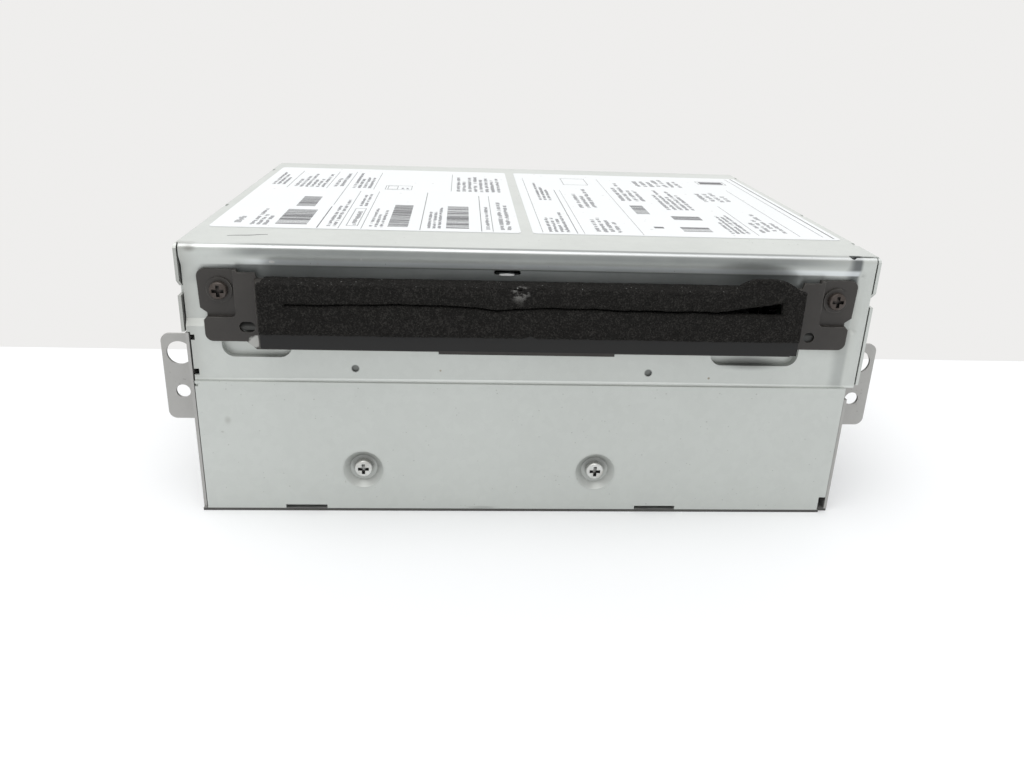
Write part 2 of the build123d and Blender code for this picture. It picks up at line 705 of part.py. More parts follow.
def slot_flange():
    """Dark sheet round the slot: two eared plates and the raised shroud that carries the foam."""
    half = FLANGE_HALF
    lower = FLANGE_LOWER_HALF
    top = [
        (half, FLANGE_TOP),
        (SEAT_X, FLANGE_TOP),
        (SEAT_X - 0.4, FLANGE_TOP - 0.6),
        (SHROUD_HALF + 1.4, FLANGE_TOP - 0.6),
        (SHROUD_HALF + 1.0, SHROUD_TOP),
    ]
    side = [
        (half - 0.3, SEAT_Z + 2.9),
        (lower - 0.7, SEAT_Z + 1.6),
        (lower - 0.7, SEAT_Z + 0.7),
        (lower, SEAT_Z),
        (lower, FLANGE_LOW),
    ]
    flare = [
        (-SHROUD_HALF - 4.6, FLANGE_LOW),
        (-SHROUD_HALF - 2.2, SHROUD_LOW - SHROUD_FLARE),
        (SHROUD_HALF + 0.4, SHROUD_LOW - SHROUD_FLARE),
        (SHROUD_HALF + 0.4, FLANGE_LOW),
    ]
    plate = outline(top + [(-x, z) for x, z in reversed(top)] + [(-x, z) for x, z in side] + flare + side[::-1])
    corners = [v for v in plate.vertices() if abs(v.X) > lower - 0.1 and (v.Y > FLANGE_TOP - 0.1 or v.Y < FLANGE_LOW + 0.1)]
    plate = fillet(corners, SEAT_CORNER)
    seat = RECESS - SHEET
    hollow = seat_region(0) + seat_region(0).mirror(Plane.YZ)
    floor = plate & hollow
    rim = floor - (seat_region(SHEET) + seat_region(SHEET).mirror(Plane.YZ))
    flange = slab_xz(plate - hollow, -SHEET, 0)
    flange += slab_xz(floor, seat, seat + SHEET)
    flange += slab_xz(rim, -SHEET, seat + SHEET)
    for x, z in flange_screw_places():
        flange += rod_y(x, z, FLANGE_BOSS_R, seat - 0.5, seat)
    flange += shroud_block(0) - box(-FLANGE_HALF, FLANGE_HALF, 0, 3, 40, JOG_HIGH)
    flange -= shroud_block(SHEET)
    flange -= slot_cutter()
    for x, z in flange_screw_places():
        flange -= rod_y(x, z, SCREW_R + 0.2, -3, 3)
    for x, z, wide, tall in FLANGE_HOLES:
        flange -= slab_xz(Pos(x, z) * SlotOverall(wide, tall), -3, 0.4)
    tab_left, tab_right, tab_drop = SHROUD_TAB
    low = SHROUD_LOW - SHROUD_FLARE
    flange += box(tab_left, tab_right, -SHEET, 0, low - tab_drop, low + 0.5)
    return flange


def seat_region(wall):
    """Flat region of the right ear's sunk seat, drawn in by wall on its inner and lower sides."""
    return rect(SEAT_X + wall, FLANGE_HALF + 6, SEAT_Z + wall, FLANGE_TOP + 6, SEAT_CORNER - wall)


def shroud_block(wall):
    """Solid of the flared shroud, drawn in by wall on all sides and open at the back."""
    low = SHROUD_LOW + wall
    high = SHROUD_TOP - wall
    half = SHROUD_HALF - wall
    front_y = -SHROUD_REACH + wall
    back_y = RECESS + (0.01 if wall else -SHEET)
    front = Plane(origin=(0, front_y, 0), x_dir=(1, 0, 0), z_dir=(0, -1, 0))
    back = Plane(origin=(0, back_y, 0), x_dir=(1, 0, 0), z_dir=(0, -1, 0))
    wide = rect(-half - SHROUD_FLARE, half + 0.3, low - SHROUD_FLARE, high)
    narrow = rect(-half, half, low, high)
    return loft([back * wide, front * narrow], ruled=True)


def slot_cutter():
    """Cutter for the disc slot in the shroud's face."""
    slot = rect(-SLOT_HALF, SLOT_HALF, SLOT_Z - SLOT_HEIGHT / 2, SLOT_Z + SLOT_HEIGHT / 2, 1.0)
    return slab_xz(slot, -SHROUD_REACH - 1, -SHROUD_REACH + SHEET + 1)


def flange_screw_places():
    """X and Z of the flange's two screws."""
    x, z = FLANGE_SCREW
    return ((-x, z), (x, z))


def foam_seal():
    """Foam pad on the shroud's face and top, slit for the disc, lifted and bulged at its right end."""
    bulge_start, bulge_full, bulge = FOAM_BULGE
    right = SHROUD_HALF - 0.3
    left = -SHROUD_HALF
    edge = Polyline(
        (bulge_start, FOAM_TOP),
        (left, FOAM_TOP - 0.2),
        (left, FOAM_LOW),
        (-2.0, FOAM_LOW),
        (0.0, FOAM_LOW + 0.7),
        (2.0, FOAM_LOW),
        (right + 0.3, FOAM_LOW),
        (right, FOAM_TOP),
    )
    corner = ThreePointArc(
        (right, FOAM_TOP),
        (right - 1.1, FOAM_TOP + bulge * 0.8),
        (right - 4.5, FOAM_TOP + bulge),
    )
    crest = Spline(
        (right - 4.5, FOAM_TOP + bulge),
        (bulge_full + 3, FOAM_TOP + bulge * 0.72),
        (bulge_start, FOAM_TOP),
        tangents=[(-1, 0), (-1, -0.12)],
    )
    pad = make_face([edge, corner, crest])
    half = FOAM_SLIT / 2
    pad -= outline([
        (FOAM_SLIT_LEFT, SLOT_Z - half),
        (FOAM_SLIT_RIGHT, SLOT_Z - half),
        (FOAM_SLIT_RIGHT, SLOT_Z + half + FOAM_WEDGE),
        (FOAM_WEDGE_START, SLOT_Z + half),
        (FOAM_SLIT_LEFT, SLOT_Z + half),
    ])
    foam = slab_xz(pad, -FRONT_REACH, -SHROUD_REACH)
    front = foam.faces().sort_by(Axis.Y)[0]
    rim = front.outer_wire().edges()
    fold = box(-SHROUD_HALF + 0.4, SHROUD_HALF - 0.4, -SHROUD_REACH - 0.5, -0.3, SHROUD_TOP, FOAM_TOP)
    return fillet(rim, 0.5) + fold


def flange_screws():
    """Screws of the slot flange."""
    group = Part()
    for x, z in flange_screw_places():
        group += screw_y(x, z, RECESS - SHEET - 0.5, 6, head_r=FLANGE_HEAD_R)
    return group


def panel_screws():
    """Screws in the lower front's dimples."""
    group = Part()
    for x, z in DIMPLE_PLACES:
        group += screw_y(x, z, DIMPLE_DEPTH - SHEET, 6)
    return group


def front_bracket():
    """Angle behind the lower front that the two screws hold."""
    x0 = DIMPLE_PLACES[0][0] - 12
    x1 = DIMPLE_PLACES[1][0] + 12
    upright = rect(x0, x1, 2 * SHEET, 24, 2) + rect(x0, x1, 2 * SHEET, 10)
    for x, z in DIMPLE_PLACES:
        upright -= disc(x, z, SCREW_R + SCREW_FIT)
    for i in range(3):
        upright -= rect(-34 + 18 * i, -24 + 18 * i, 14, 20, 1.5)
    bracket = slab_xz(upright, DIMPLE_DEPTH, DIMPLE_DEPTH + SHEET)
    return bracket + box(x0, x1, DIMPLE_DEPTH, 12, 2 * SHEET, 3 * SHEET)


def cover_screws():
    """Side screws that hold the cover's skirts to the walls."""
    group = Part()
    for x, z in cover_screw_places():
        turn = -90 if x < 0 else 90
        length = 5
        group += Pos(x, cover_screw_y(x, z), z) * Rot(0, 0, turn) * screw_y(0, 0, 0, length)
    return group


def label(left, right):
    """Thin paper label on the top."""
    return slab_xy(rect(left, right, LABEL_FRONT, LABEL_BACK, 1.5), HEIGHT, HEIGHT + LABEL)


def main_board():
    """Main circuit board with its screw holes and a cut corner."""
    sheet = rect(-BOARD_HALF, BOARD_HALF, BOARD_FRONT, BOARD_BACK, 1.5)
    sheet -= rect(-BOARD_HALF - 1, -BOARD_HALF + 9, BOARD_FRONT + 40, BOARD_FRONT + 58)
    for x, y in POST_PLACES:
        sheet -= disc(x, y, SCREW_R + 0.2)
    return slab_xy(sheet, BOARD_Z, BOARD_Z + BOARD)


def board_posts():
    """Hexagonal spacers under the main board."""
    group = Part()
    for x, y in POST_PLACES:
        post = Pos(x, y) * RegularPolygon(POST_R, 6) - disc(x, y, SCREW_R + SCREW_FIT)
        group += slab_xy(post, SHEET if y > 12 else SHEET, BOARD_Z)
    return group


def board_screws():
    """Screws that hold the main board to its posts."""
    group = Part()
    for x, y in POST_PLACES:
        screw = rod_z(x, y, SCREW_HEAD_R, BOARD_Z + BOARD, BOARD_Z + BOARD + SCREW_HEAD)
        screw += rod_z(x, y, SCREW_R, BOARD_Z - 4, BOARD_Z + BOARD)
        group += screw
    return group


def chip(x, y, width, length, height, legs):
    """Flat chip with legs down both long sides, flush on the board."""
    body = box(x - width / 2, x + width / 2, y - length / 2, y + length / 2, BOARD_TOP + 0.2, BOARD_TOP + height)
    body = chamfer(body.edges().group_by(Axis.Z)[-1], 0.3)
    for i in range(legs):
        place = y - length / 2 + length * (i + 0.5) / legs
        body += box(x - width / 2 - 1, x + width / 2 + 1, place - 0.35, place + 0.35, BOARD_TOP, BOARD_TOP + 0.4)
    return body


def board_chips():
    """Processor, memory chips and the low socket of the flat cable."""
    group = Part() + chip(-20, 62, 24, 24, 2.2, 10) + cable_socket()
    for i in range(4):
        group += chip(8 + 14 * (i % 2), 52 + 22 * (i // 2), 9, 16, 1.4, 6)
    return group


def amplifier_chip():
    """Power amplifier standing against the rear plate, with its row of legs."""
    x = SINK_LEFT + SINK_WIDTH / 2 - 4
    back = DEPTH - SHEET
    body = box(x - 15, x + 15, back - 4.5, back, BOARD_TOP + 6, BOARD_TOP + 24)
    for i in range(11):
        leg = x - 12.5 + 2.5 * i
        body += box(leg - 0.4, leg + 0.4, back - 3, back - 2.2, BOARD_TOP, BOARD_TOP + 6.2)
    return body


def amplifier_clamp():
    """Spring strip that presses the amplifier against the sheet."""
    x = SINK_LEFT + SINK_WIDTH / 2 - 4
    back = DEPTH - SHEET
    strip = outline([
        (back - 4.5, BOARD_TOP + 10),
        (back - 5.3, BOARD_TOP + 10),
        (back - 5.3, BOARD_TOP + 25),
        (back - 0.8, BOARD_TOP + 27),
        (back - 0.8, BOARD_TOP + 31),
        (back, BOARD_TOP + 31),
        (back, BOARD_TOP + 26),
        (back - 4.5, BOARD_TOP + 24.2),
    ])
    return slab_yz(strip, x - 5, x + 5)


def capacitors():
    """Upright electrolytic capacitors with grooved cans."""
    group = Part()
    places = ((-70, 96, 6.2, 24), (-54, 96, 6.2, 24), (-70, 80, 5, 16), (-56, 80, 5, 16), (52, 96, 4, 12), (62, 96, 4, 12))
    for x, y, r, height in places:
        points = [
            (0, BOARD_TOP),
            (r, BOARD_TOP),
            (r, BOARD_TOP + 2.0),
            (r - 0.5, BOARD_TOP + 2.6),
            (r, BOARD_TOP + 3.2),
            (r, BOARD_TOP + height - 0.6),
            (r - 0.6, BOARD_TOP + height),
            (0, BOARD_TOP + height),
        ]
        group += Pos(x, y, 0) * revolve(Plane.XZ * outline(points), Axis.Z)
    return group


def tuner_can():
    """Folded tin can over the tuner, with a row of round holes."""
    can = box(34, 70, 34, 82, BOARD_TOP, BOARD_TOP + 9)
    can = fillet(can.edges().filter_by(Axis.Z), 1.0)
    can -= box(34.5, 69.5, 34.5, 81.5, BOARD_TOP - 1, BOARD_TOP + 8.5)
    for i in range(5):
        can -= rod_z(52, 42 + 8 * i, 1.5, BOARD_TOP + 8, BOARD_TOP + 10)
    return can


def cable_socket():
    """Low socket of the flat cable on the main board."""
    return box(CABLE_X - 13, CABLE_X + 13, CABLE_Y - 2.4, CABLE_Y + 2.4, BOARD_TOP, BOARD_TOP + 3.6) - box(
        CABLE_X - 11, CABLE_X + 11, CABLE_Y - 0.6, CABLE_Y + 0.6, BOARD_TOP + 1, BOARD_TOP + 4
    )


def link_cable():
    """Flat cable from the main board up to the drive's board, with one slack fold."""
    low = BOARD_TOP + 1.2
    high = DECK_BOARD_Z - 3.2 + 0.4
    y = CABLE_Y - CABLE / 2
    left = Polyline((y, low), (y, 20.0), (y - 8, 26.0), (y - 8, 30.0), (y, 36.0), (y, high))
    right = Polyline(
        (y + CABLE, high),
        (y + CABLE, 36.15),
        (y - 8 + CABLE, 30.15),
        (y - 8 + CABLE, 25.85),
        (y + CABLE, 19.85),
        (y + CABLE, low),
    )
    ends = [Line((y, high), (y + CABLE, high)), Line((y + CABLE, low), (y, low))]
    return slab_yz(make_face([left, ends[0], right, ends[1]]), CABLE_X - 10, CABLE_X + 10)


def deck_base():
    """Drive chassis: floor with its openings, and two side walls with the bearing holes."""
    floor = rect(-DECK_HALF, DECK_HALF, DECK_FRONT, DECK_BACK)
    floor -= rect(SLED_X - SLED_HALF - SLED_TRAVEL - 1, SLED_X + SLED_HALF + 1, SPINDLE_Y - 13, SPINDLE_Y + 13, 2)
    floor -= rect(20, 48, 92, 120, 3)
    floor -= rect(GEAR_X - 0.8, GEAR_X + GEAR_WIDTH + 0.8, ROLLER_Y - 4.5, IDLER_Y + 5)
    deck = slab_xy(floor, DECK_Z, DECK_Z + DECK_SHEET)
    for side in (-1, 1):
        wall = rect(DECK_FRONT, DECK_BACK, DECK_Z, DECK_TOP_Z)
        wall -= disc(PIVOT_Y, ROLLER_Z, SHAFT_R + 0.02)
        wall -= disc(CLAMP_Y, CLAMP_Z, CLAMP_PIN_R + RUN_FIT) + rect(
            CLAMP_Y - 0.6, CLAMP_Y + 0.6, CLAMP_Z, DECK_TOP_Z + 1
        )
        inner = side * (DECK_HALF - DECK_SHEET)
        outer = side * DECK_HALF
        deck += slab_yz(wall, min(inner, outer), max(inner, outer))
        for y in DAMPER_PLACES:
            start = side * (DECK_HALF - 0.2)
            end = side * (DECK_HALF + DAMPER_PIN)
            deck += rod_x(y, DAMPER_Z, DAMPER_PIN_R, min(start, end), max(start, end))
        for y in SPRING_PLACES:
            deck += hook_tab(side, y)
    for x, y in rod_tab_places():
        tab = box(x - 0.6, x + 0.6, y - 3.5, y + 3.5, DECK_Z, ROD_Z + 3)
        deck += tab - rod_x(y, ROD_Z, ROD_R + 0.02, x - 1, x + 1)
    return deck + screw_bearing() + shift_rivets()


def hook_tab(side, y):
    """Ear on the chassis foot that a suspension spring hooks into."""
    x0 = side * (DECK_HALF - 0.2)
    x1 = side * (DECK_HALF + 3.4)
    ear = box(min(x0, x1), max(x0, x1), y - 2.5, y + 2.5, DECK_Z, DECK_Z + DECK_SHEET)
    return ear - rod_z(spring_x(side) - side * SPRING_R, y, 0.55, DECK_Z - 1, DECK_Z + 2)


def spring_x(side):
    """Middle of the suspension springs on one side."""
    return side * (DECK_HALF + 2.6)


def rod_tab_places():
    """Upright tabs that hold the guide rods: X and Y."""
    return tuple((x, y) for x in (ROD_LEFT, ROD_RIGHT) for y in (ROD_FRONT_Y, ROD_BACK_Y))


def deck_top():
    """Drive roof with the opening over the clamp arm and pressed ribs."""
    sheet = rect(-DECK_HALF, DECK_HALF, DECK_FRONT + 2, DECK_BACK)
    sheet -= outline([(-20, 52), (20, 52), (34, 106), (56, 106), (56, 124), (-56, 124), (-56, 106), (-34, 106)])
    roof = slab_xy(sheet, DECK_TOP_Z, DECK_TOP_Z + DECK_SHEET)
    for x in (-50, 50):
        roof -= slab_xy(rect(x - 12, x + 12, 34, 84, 4), DECK_TOP_Z - 1, DECK_TOP_Z + 2)
    for x in (-DECK_HALF + 3, DECK_HALF - 3):
        for y in (28.0, DECK_BACK - 3):
            roof += rod_z(x, y, 1.8, DECK_TOP_Z + DECK_SHEET / 2, DECK_TOP_Z + DECK_SHEET + 0.6)
    return roof


def disc_guide():
    """Black plastic guide above the disc's path, with raised rails at both ends."""
    guide = rect(-62, 62, DECK_FRONT + 2, 26, 1.5)
    guide -= rect(-24, 24, 20, 27)
    body = slab_xy(guide, DISC_LOW + 2.6, DECK_TOP_Z)
    for side in (-1, 1):
        body += box(side * 60.5 - 1.5, side * 60.5 + 1.5, DECK_FRONT + 4, 25, DISC_LOW + 1.8, DISC_LOW + 2.7)
    for i in range(7):
        body -= box(-51 + 15 * i, -39 + 15 * i, 11, 19, DISC_LOW + 3.6, DECK_TOP_Z + 1)
    return body


def roller_arm():
    """Tilting arm that carries the roller: a web, two cheeks, the idler's stud and the cam pin."""
    web = box(-ARM_X, ARM_X, ROLLER_Y + 6, ROLLER_Y + 6 + ARM_SHEET, ROLLER_Z - 4, ROLLER_Z + 0.6)
    arm = web
    cheek = outline([
        (ROLLER_Y - 3, ROLLER_Z - 2.4),
        (ROLLER_Y - 3, ROLLER_Z + 2.4),
        (PIVOT_Y + 2.6, ROLLER_Z + 2.4),
        (PIVOT_Y + 2.6, ROLLER_Z - 2.4),
        (ROLLER_Y + 8, ROLLER_Z - 4),
        (ROLLER_Y + 2, ROLLER_Z - 4),
    ])
    cheek -= disc(ROLLER_Y, ROLLER_Z, SHAFT_R + RUN_FIT)
    cheek -= disc(PIVOT_Y, ROLLER_Z, SHAFT_R + RUN_FIT)
    for side in (-1, 1):
        inner = side * (ARM_X - ARM_SHEET)
        outer = side * ARM_X
        arm += slab_yz(cheek, min(inner, outer), max(inner, outer))
    arm += rod_x(IDLER_Y, ROLLER_Z, SHAFT_R, ARM_X - 0.2, ARM_X + 0.6 + GEAR_WIDTH + 0.3)
    arm += rod_x(ROLLER_CAM_Y, ROLLER_Z, CAM_PIN_R, -SHIFT_X - SHIFT_SHEET - 0.2, -ARM_X + 0.2)
    return arm


def roller_shaft():
    """Steel shaft of the loading roller."""
    return rod_x(ROLLER_Y, ROLLER_Z, SHAFT_R, -ARM_X - 1.5, GEAR_X + GEAR_WIDTH + 0.4)


def rubber_roller(side):
    """One half of the loading roller, thicker at its outer end so that it touches only the disc's rim."""
    points = [
        (ROLLER_GAP, SHAFT_R + 0.02),
        (ROLLER_GAP, ROLLER_MID_R),
        (ROLLER_HALF - 10, ROLLER_END_R - 0.15),
        (ROLLER_HALF, ROLLER_END_R),
        (ROLLER_HALF, SHAFT_R + 0.02),
    ]
    half = revolve(outline(points), Axis.X)
    if side < 0:
        half = half.rotate(Axis.Z, 180)
    return Pos(0, ROLLER_Y, ROLLER_Z) * half


def rubber_rollers():
    """Both rubber halves."""
    return Part() + rubber_roller(-1) + rubber_roller(1)


def gear(teeth, y, phase, hub, width=GEAR_WIDTH):
    """Spur gear about X at y on the roller's height."""
    plane = Plane(origin=(GEAR_X, y, ROLLER_Z), x_dir=(0, 1, 0), z_dir=(1, 0, 0))
    return extrude(plane * gear_outline(teeth, hub, phase), amount=width)


def roller_gear():
    """Gear pressed on the roller's shaft."""
    return gear(ROLLER_TEETH, ROLLER_Y, 0, SHAFT_R + 0.02)


def idler_gear():
    """Idler gear on the arm's stud."""
    return gear(IDLER_TEETH, IDLER_Y, 180 / IDLER_TEETH, SHAFT_R + RUN_FIT)


def pulley_gear():
    """Belt pulley with its pinion, turning on the arm's pivot pin."""
    pinion = gear(PINION_TEETH, PIVOT_Y, 0, SHAFT_R + RUN_FIT, GEAR_WIDTH + WHEEL_GAP + 0.1)
    start = GEAR_X + GEAR_WIDTH + WHEEL_GAP
    wheel = rod_x(PIVOT_Y, ROLLER_Z, PULLEY_R + 0.6, start, start + 0.5)
    wheel += rod_x(PIVOT_Y, ROLLER_Z, PULLEY_R, start + 0.4, start + 0.5 + PULLEY_WIDTH)
    wheel += rod_x(PIVOT_Y, ROLLER_Z, PULLEY_R + 0.6, start + 0.4 + PULLEY_WIDTH, start + 0.9 + PULLEY_WIDTH)
    for i in range(4):
        a = math.radians(45 + 90 * i)
        wheel -= rod_x(PIVOT_Y + 4.2 * math.cos(a), ROLLER_Z + 4.2 * math.sin(a), 1.3, start - 0.1, start + 5)
    wheel -= rod_x(PIVOT_Y, ROLLER_Z, SHAFT_R + RUN_FIT, start - 1, start + 5)
    return pinion + wheel


def belt_loop(grow):
    """Flat outline round both pulleys, grown from their running faces."""
    big = (PIVOT_Y, ROLLER_Z)
    small = (MOTOR_Y, MOTOR_Z)
    r1 = PULLEY_R + grow
    r2 = MOTOR_PULLEY_R + grow
    length = math.dist(big, small)
    along = math.atan2(small[1] - big[1], small[0] - big[0])
    lean = math.acos((r1 - r2) / length)
    ends = []
    for sign in (1, -1):
        a = along + sign * lean
        ends.append([(c[0] + r * math.cos(a), c[1] + r * math.sin(a)) for c, r in ((big, r1), (small, r2))])
    strip = outline([ends[0][0], ends[0][1], ends[1][1], ends[1][0]])
    return strip + disc(*big, r1) + disc(*small, r2)


def drive_belt():
    """Rubber belt from the loading motor to the pulley."""
    loop = belt_loop(BELT + RUN_FIT) - belt_loop(RUN_FIT)
    return slab_yz(loop, BELT_X, BELT_X + BELT_WIDTH)


def motor_pulley():
    """Small pulley and the loading motor's shaft that it is turned on."""
    start = BELT_X - 0.25
    wheel = rod_x(MOTOR_Y, MOTOR_Z, MOTOR_PULLEY_R + 0.5, start - 0.5, start)
    wheel += rod_x(MOTOR_Y, MOTOR_Z, MOTOR_PULLEY_R, start - 0.1, start + 2.2)
    wheel += rod_x(MOTOR_Y, MOTOR_Z, MOTOR_PULLEY_R + 0.5, start + 2.2, start + 2.7)
    return wheel + rod_x(MOTOR_Y, MOTOR_Z, 0.75, MOTOR_X + MOTOR_LENGTH - 6, BELT_X + 2.6)


def loading_motor():
    """Flat-sided loading motor with its front boss, on the drive's floor."""
    can = disc(MOTOR_Y, MOTOR_Z, MOTOR_R + 0.9) & rect(MOTOR_Y - 9, MOTOR_Y + 9, MOTOR_Z - MOTOR_R, MOTOR_Z + MOTOR_R)
    motor = slab_yz(can, MOTOR_X, MOTOR_X + MOTOR_LENGTH)
    motor += rod_x(MOTOR_Y, MOTOR_Z, 2.2, MOTOR_X + MOTOR_LENGTH, MOTOR_X + MOTOR_LENGTH + 1)
    motor -= rod_x(MOTOR_Y, MOTOR_Z, 0.75 + RUN_FIT, MOTOR_X + MOTOR_LENGTH - 6.1, MOTOR_X + MOTOR_LENGTH + 2)
    foot = box(MOTOR_X + 2, MOTOR_X + 16, MOTOR_Y - 4, MOTOR_Y + 4, DECK_Z + DECK_SHEET, MOTOR_Z - 4)
    return motor + foot


def pivot_pins():
    """Pins of the roller arm, riveted in the chassis walls."""
    left = rod_x(PIVOT_Y, ROLLER_Z, SHAFT_R, -DECK_HALF - 0.3, -ARM_X + ARM_SHEET + 0.5)
    right = rod_x(PIVOT_Y, ROLLER_Z, SHAFT_R, ARM_X - ARM_SHEET - 0.5, DECK_HALF + 0.3)
    return Part() + left + right


def shift_plate():
    """Sliding cam plate on the left wall: slots for the roller arm, its pivot, the clamp and two guides."""
    face = rect(DECK_FRONT + 0.4, CLAMP_Y - 7, DECK_Z + 2.2, DISC_LOW + 0.4, 1.2)
    gap = CAM_PIN_R + CAM_FIT
    pivot = (PIVOT_Y, ROLLER_Z)
    start = (ROLLER_CAM_Y, ROLLER_Z)
    end = turned(start, pivot, ARM_DROP_DEG)
    face -= slot_between(start, (end[0] - SHIFT_TRAVEL, end[1]), gap)
    face -= slot_between(pivot, (PIVOT_Y - SHIFT_TRAVEL, ROLLER_Z), SHAFT_R + CAM_FIT)
    start = (CLAMP_CAM_Y, CLAMP_CAM_Z)
    end = turned(start, (CLAMP_Y, CLAMP_Z), CLAMP_DEG)
    face -= slot_between(start, (end[0] - SHIFT_TRAVEL, end[1]), gap)
    for y in SHIFT_GUIDES:
        face -= slot_between((y, SHIFT_GUIDE_Z), (y - SHIFT_TRAVEL, SHIFT_GUIDE_Z), SHAFT_R + RUN_FIT)
    plate = slab_yz(face, -SHIFT_X - SHIFT_SHEET, -SHIFT_X)
    for i in range(8):
        place = 60 + 2 * i
        plate += box(-SHIFT_X - SHIFT_SHEET, -SHIFT_X, place, place + 1, DISC_LOW + 0.2, DISC_LOW + 1.4)
    return plate


def shift_rivets():
    """Headed rivets in the wall that guide the shift plate."""
    group = Part()
    for y in SHIFT_GUIDES:
        rivet = rod_x(y, SHIFT_GUIDE_Z, SHAFT_R, -DECK_HALF + DECK_SHEET, -SHIFT_X + 0.1)
        group += rivet + rod_x(y, SHIFT_GUIDE_Z, 2.0, -SHIFT_X + 0.1, -SHIFT_X + 0.9)
    return group


def spindle_motor():
    """Flat spindle motor on the floor, with its bearing sleeve."""
    motor = rod_z(0, SPINDLE_Y, MOTOR_CAN_R, DECK_Z + DECK_SHEET, TABLE_Z - 3.2)
    motor = fillet(motor.edges().filter_by(GeomType.CIRCLE).group_by(Axis.Z)[-1], 1.0)
    motor += rod_z(0, SPINDLE_Y, 3.0, TABLE_Z - 3.3, TABLE_Z - 2.3)
    return motor - rod_z(0, SPINDLE_Y, 1.0 + RUN_FIT, DECK_Z + 1.5, TABLE_Z)


def turntable():
    """Turntable with its centring cone, three claws and spindle."""
    seat = TABLE_Z
    points = [
        (0, seat - 1.6),
        (TABLE_R, seat - 1.6),
        (TABLE_R, seat),
        (CONE_R + 1.4, seat),
        (CONE_R + 1.4, seat - 0.4),
        (CONE_R, seat - 0.4),
        (CONE_R, seat + 0.7),
        (CONE_R - 1.4, seat + 1.6),
        (2.2, seat + 1.6),
        (2.2, seat + 1.0),
        (0, seat + 1.0),
    ]
    table = revolve(Plane.XZ * outline(points), Axis.Z)
    table += rod_z(0, 0, 1.0, DECK_Z + 1.8, seat - 1)
    for i in range(3):
        cut = box(CONE_R - 2.4, CONE_R + 0.5, -1.2, 1.2, seat + 0.1, seat + 2)
        claw = box(CONE_R - 2.2, CONE_R + 0.1, -0.8, 0.8, seat, seat + 0.9)
        table -= cut.rotate(Axis.Z, 120 * i)
        table += claw.rotate(Axis.Z, 120 * i)
    return Pos(0, SPINDLE_Y, 0) * table


def clamp_arm():
    """Sprung arm over the turntable: rear cross bar, tapering tongue, ring for the puck, pins."""
    z0 = CLAMP_Z - 0.4
    z1 = CLAMP_Z + 0.4
    inner = DECK_HALF - DECK_SHEET - 1.0
    shape = outline([
        (-inner, CLAMP_Y - 4),
        (-34, CLAMP_Y - 8),
        (-16, SPINDLE_Y + 14),
        (16, SPINDLE_Y + 14),
        (34, CLAMP_Y - 8),
        (inner, CLAMP_Y - 4),
        (inner, CLAMP_Y + 2),
        (-inner, CLAMP_Y + 2),
    ])
    shape += disc(0, SPINDLE_Y, 17)
    shape -= disc(0, SPINDLE_Y, PUCK_NECK_R + 0.6)
    shape -= outline([(-9, SPINDLE_Y + 22), (9, SPINDLE_Y + 22), (16, CLAMP_Y - 10), (-16, CLAMP_Y - 10)])
    arm = slab_xy(shape, z0, z1)
    for side in (-1, 1):
        start = side * (inner - 0.5)
        end = side * (DECK_HALF + 0.3)
        arm += rod_x(CLAMP_Y, CLAMP_Z, CLAMP_PIN_R, min(start, end), max(start, end))
        flange0, flange1 = min(side * inner, side * (inner - 0.8)), max(side * inner, side * (inner - 0.8))
        arm += box(flange0, flange1, CLAMP_Y - 4, CLAMP_Y + 2, CLAMP_Z - 1.8, CLAMP_Z + 0.4)
    ear_x = -SHIFT_X + 2.0
    arm += box(ear_x - 0.4, ear_x + 0.4, CLAMP_CAM_Y - 1.8, CLAMP_CAM_Y + 1.8, CLAMP_CAM_Z - 1.2, z1)
    arm += box(ear_x - 0.4, ear_x + 6, CLAMP_CAM_Y - 1.8, CLAMP_Y, z0, z1)
    arm += rod_x(CLAMP_CAM_Y, CLAMP_CAM_Z, CAM_PIN_R, -SHIFT_X - SHIFT_SHEET - 0.2, ear_x)
    arm += box(DECK_HALF - 12, DECK_HALF - 6, CLAMP_SPRING_Y - 3, CLAMP_Y, z0, z1)
    arm -= rod_z(CLAMP_SPRING_X + SPRING_R, CLAMP_SPRING_Y, 0.6, z0 - 1, z1 + 1)
    return arm


def clamp_puck():
    """Free-turning clamp puck, hung in the arm's ring by its rim above and its pad below."""
    low = DISC_LOW + 1.6
    points = [
        (0, low + 0.9),
        (CONE_R + 1.6, low + 0.9),
        (CONE_R + 1.6, low),
        (PUCK_R, low),
        (PUCK_R, low + 1.1),
        (PUCK_NECK_R, low + 1.1),
        (PUCK_NECK_R, CLAMP_Z + 0.7),
        (PUCK_NECK_R + 2.6, CLAMP_Z + 0.7),
        (PUCK_NECK_R + 2.6, CLAMP_Z + 1.5),
        (0, CLAMP_Z + 1.5),
    ]
    puck = revolve(Plane.XZ * outline(points), Axis.Z)
    for i in range(6):
        a = math.radians(60 * i)
        puck -= rod_z(4.0 * math.cos(a), 4.0 * math.sin(a), 0.9, CLAMP_Z + 0.6, CLAMP_Z + 2)
    return Pos(0, SPINDLE_Y, 0) * puck


def clamp_spring():
    """Spring that pulls the clamp arm down, hooked to the floor and to the arm."""
    low = DECK_Z + DECK_SHEET + 0.05
    return Pos(CLAMP_SPRING_X, CLAMP_SPRING_Y, low) * coil(SPRING_R, SPRING_WIRE, SPRING_TURNS, CLAMP_Z + 0.3 - low)


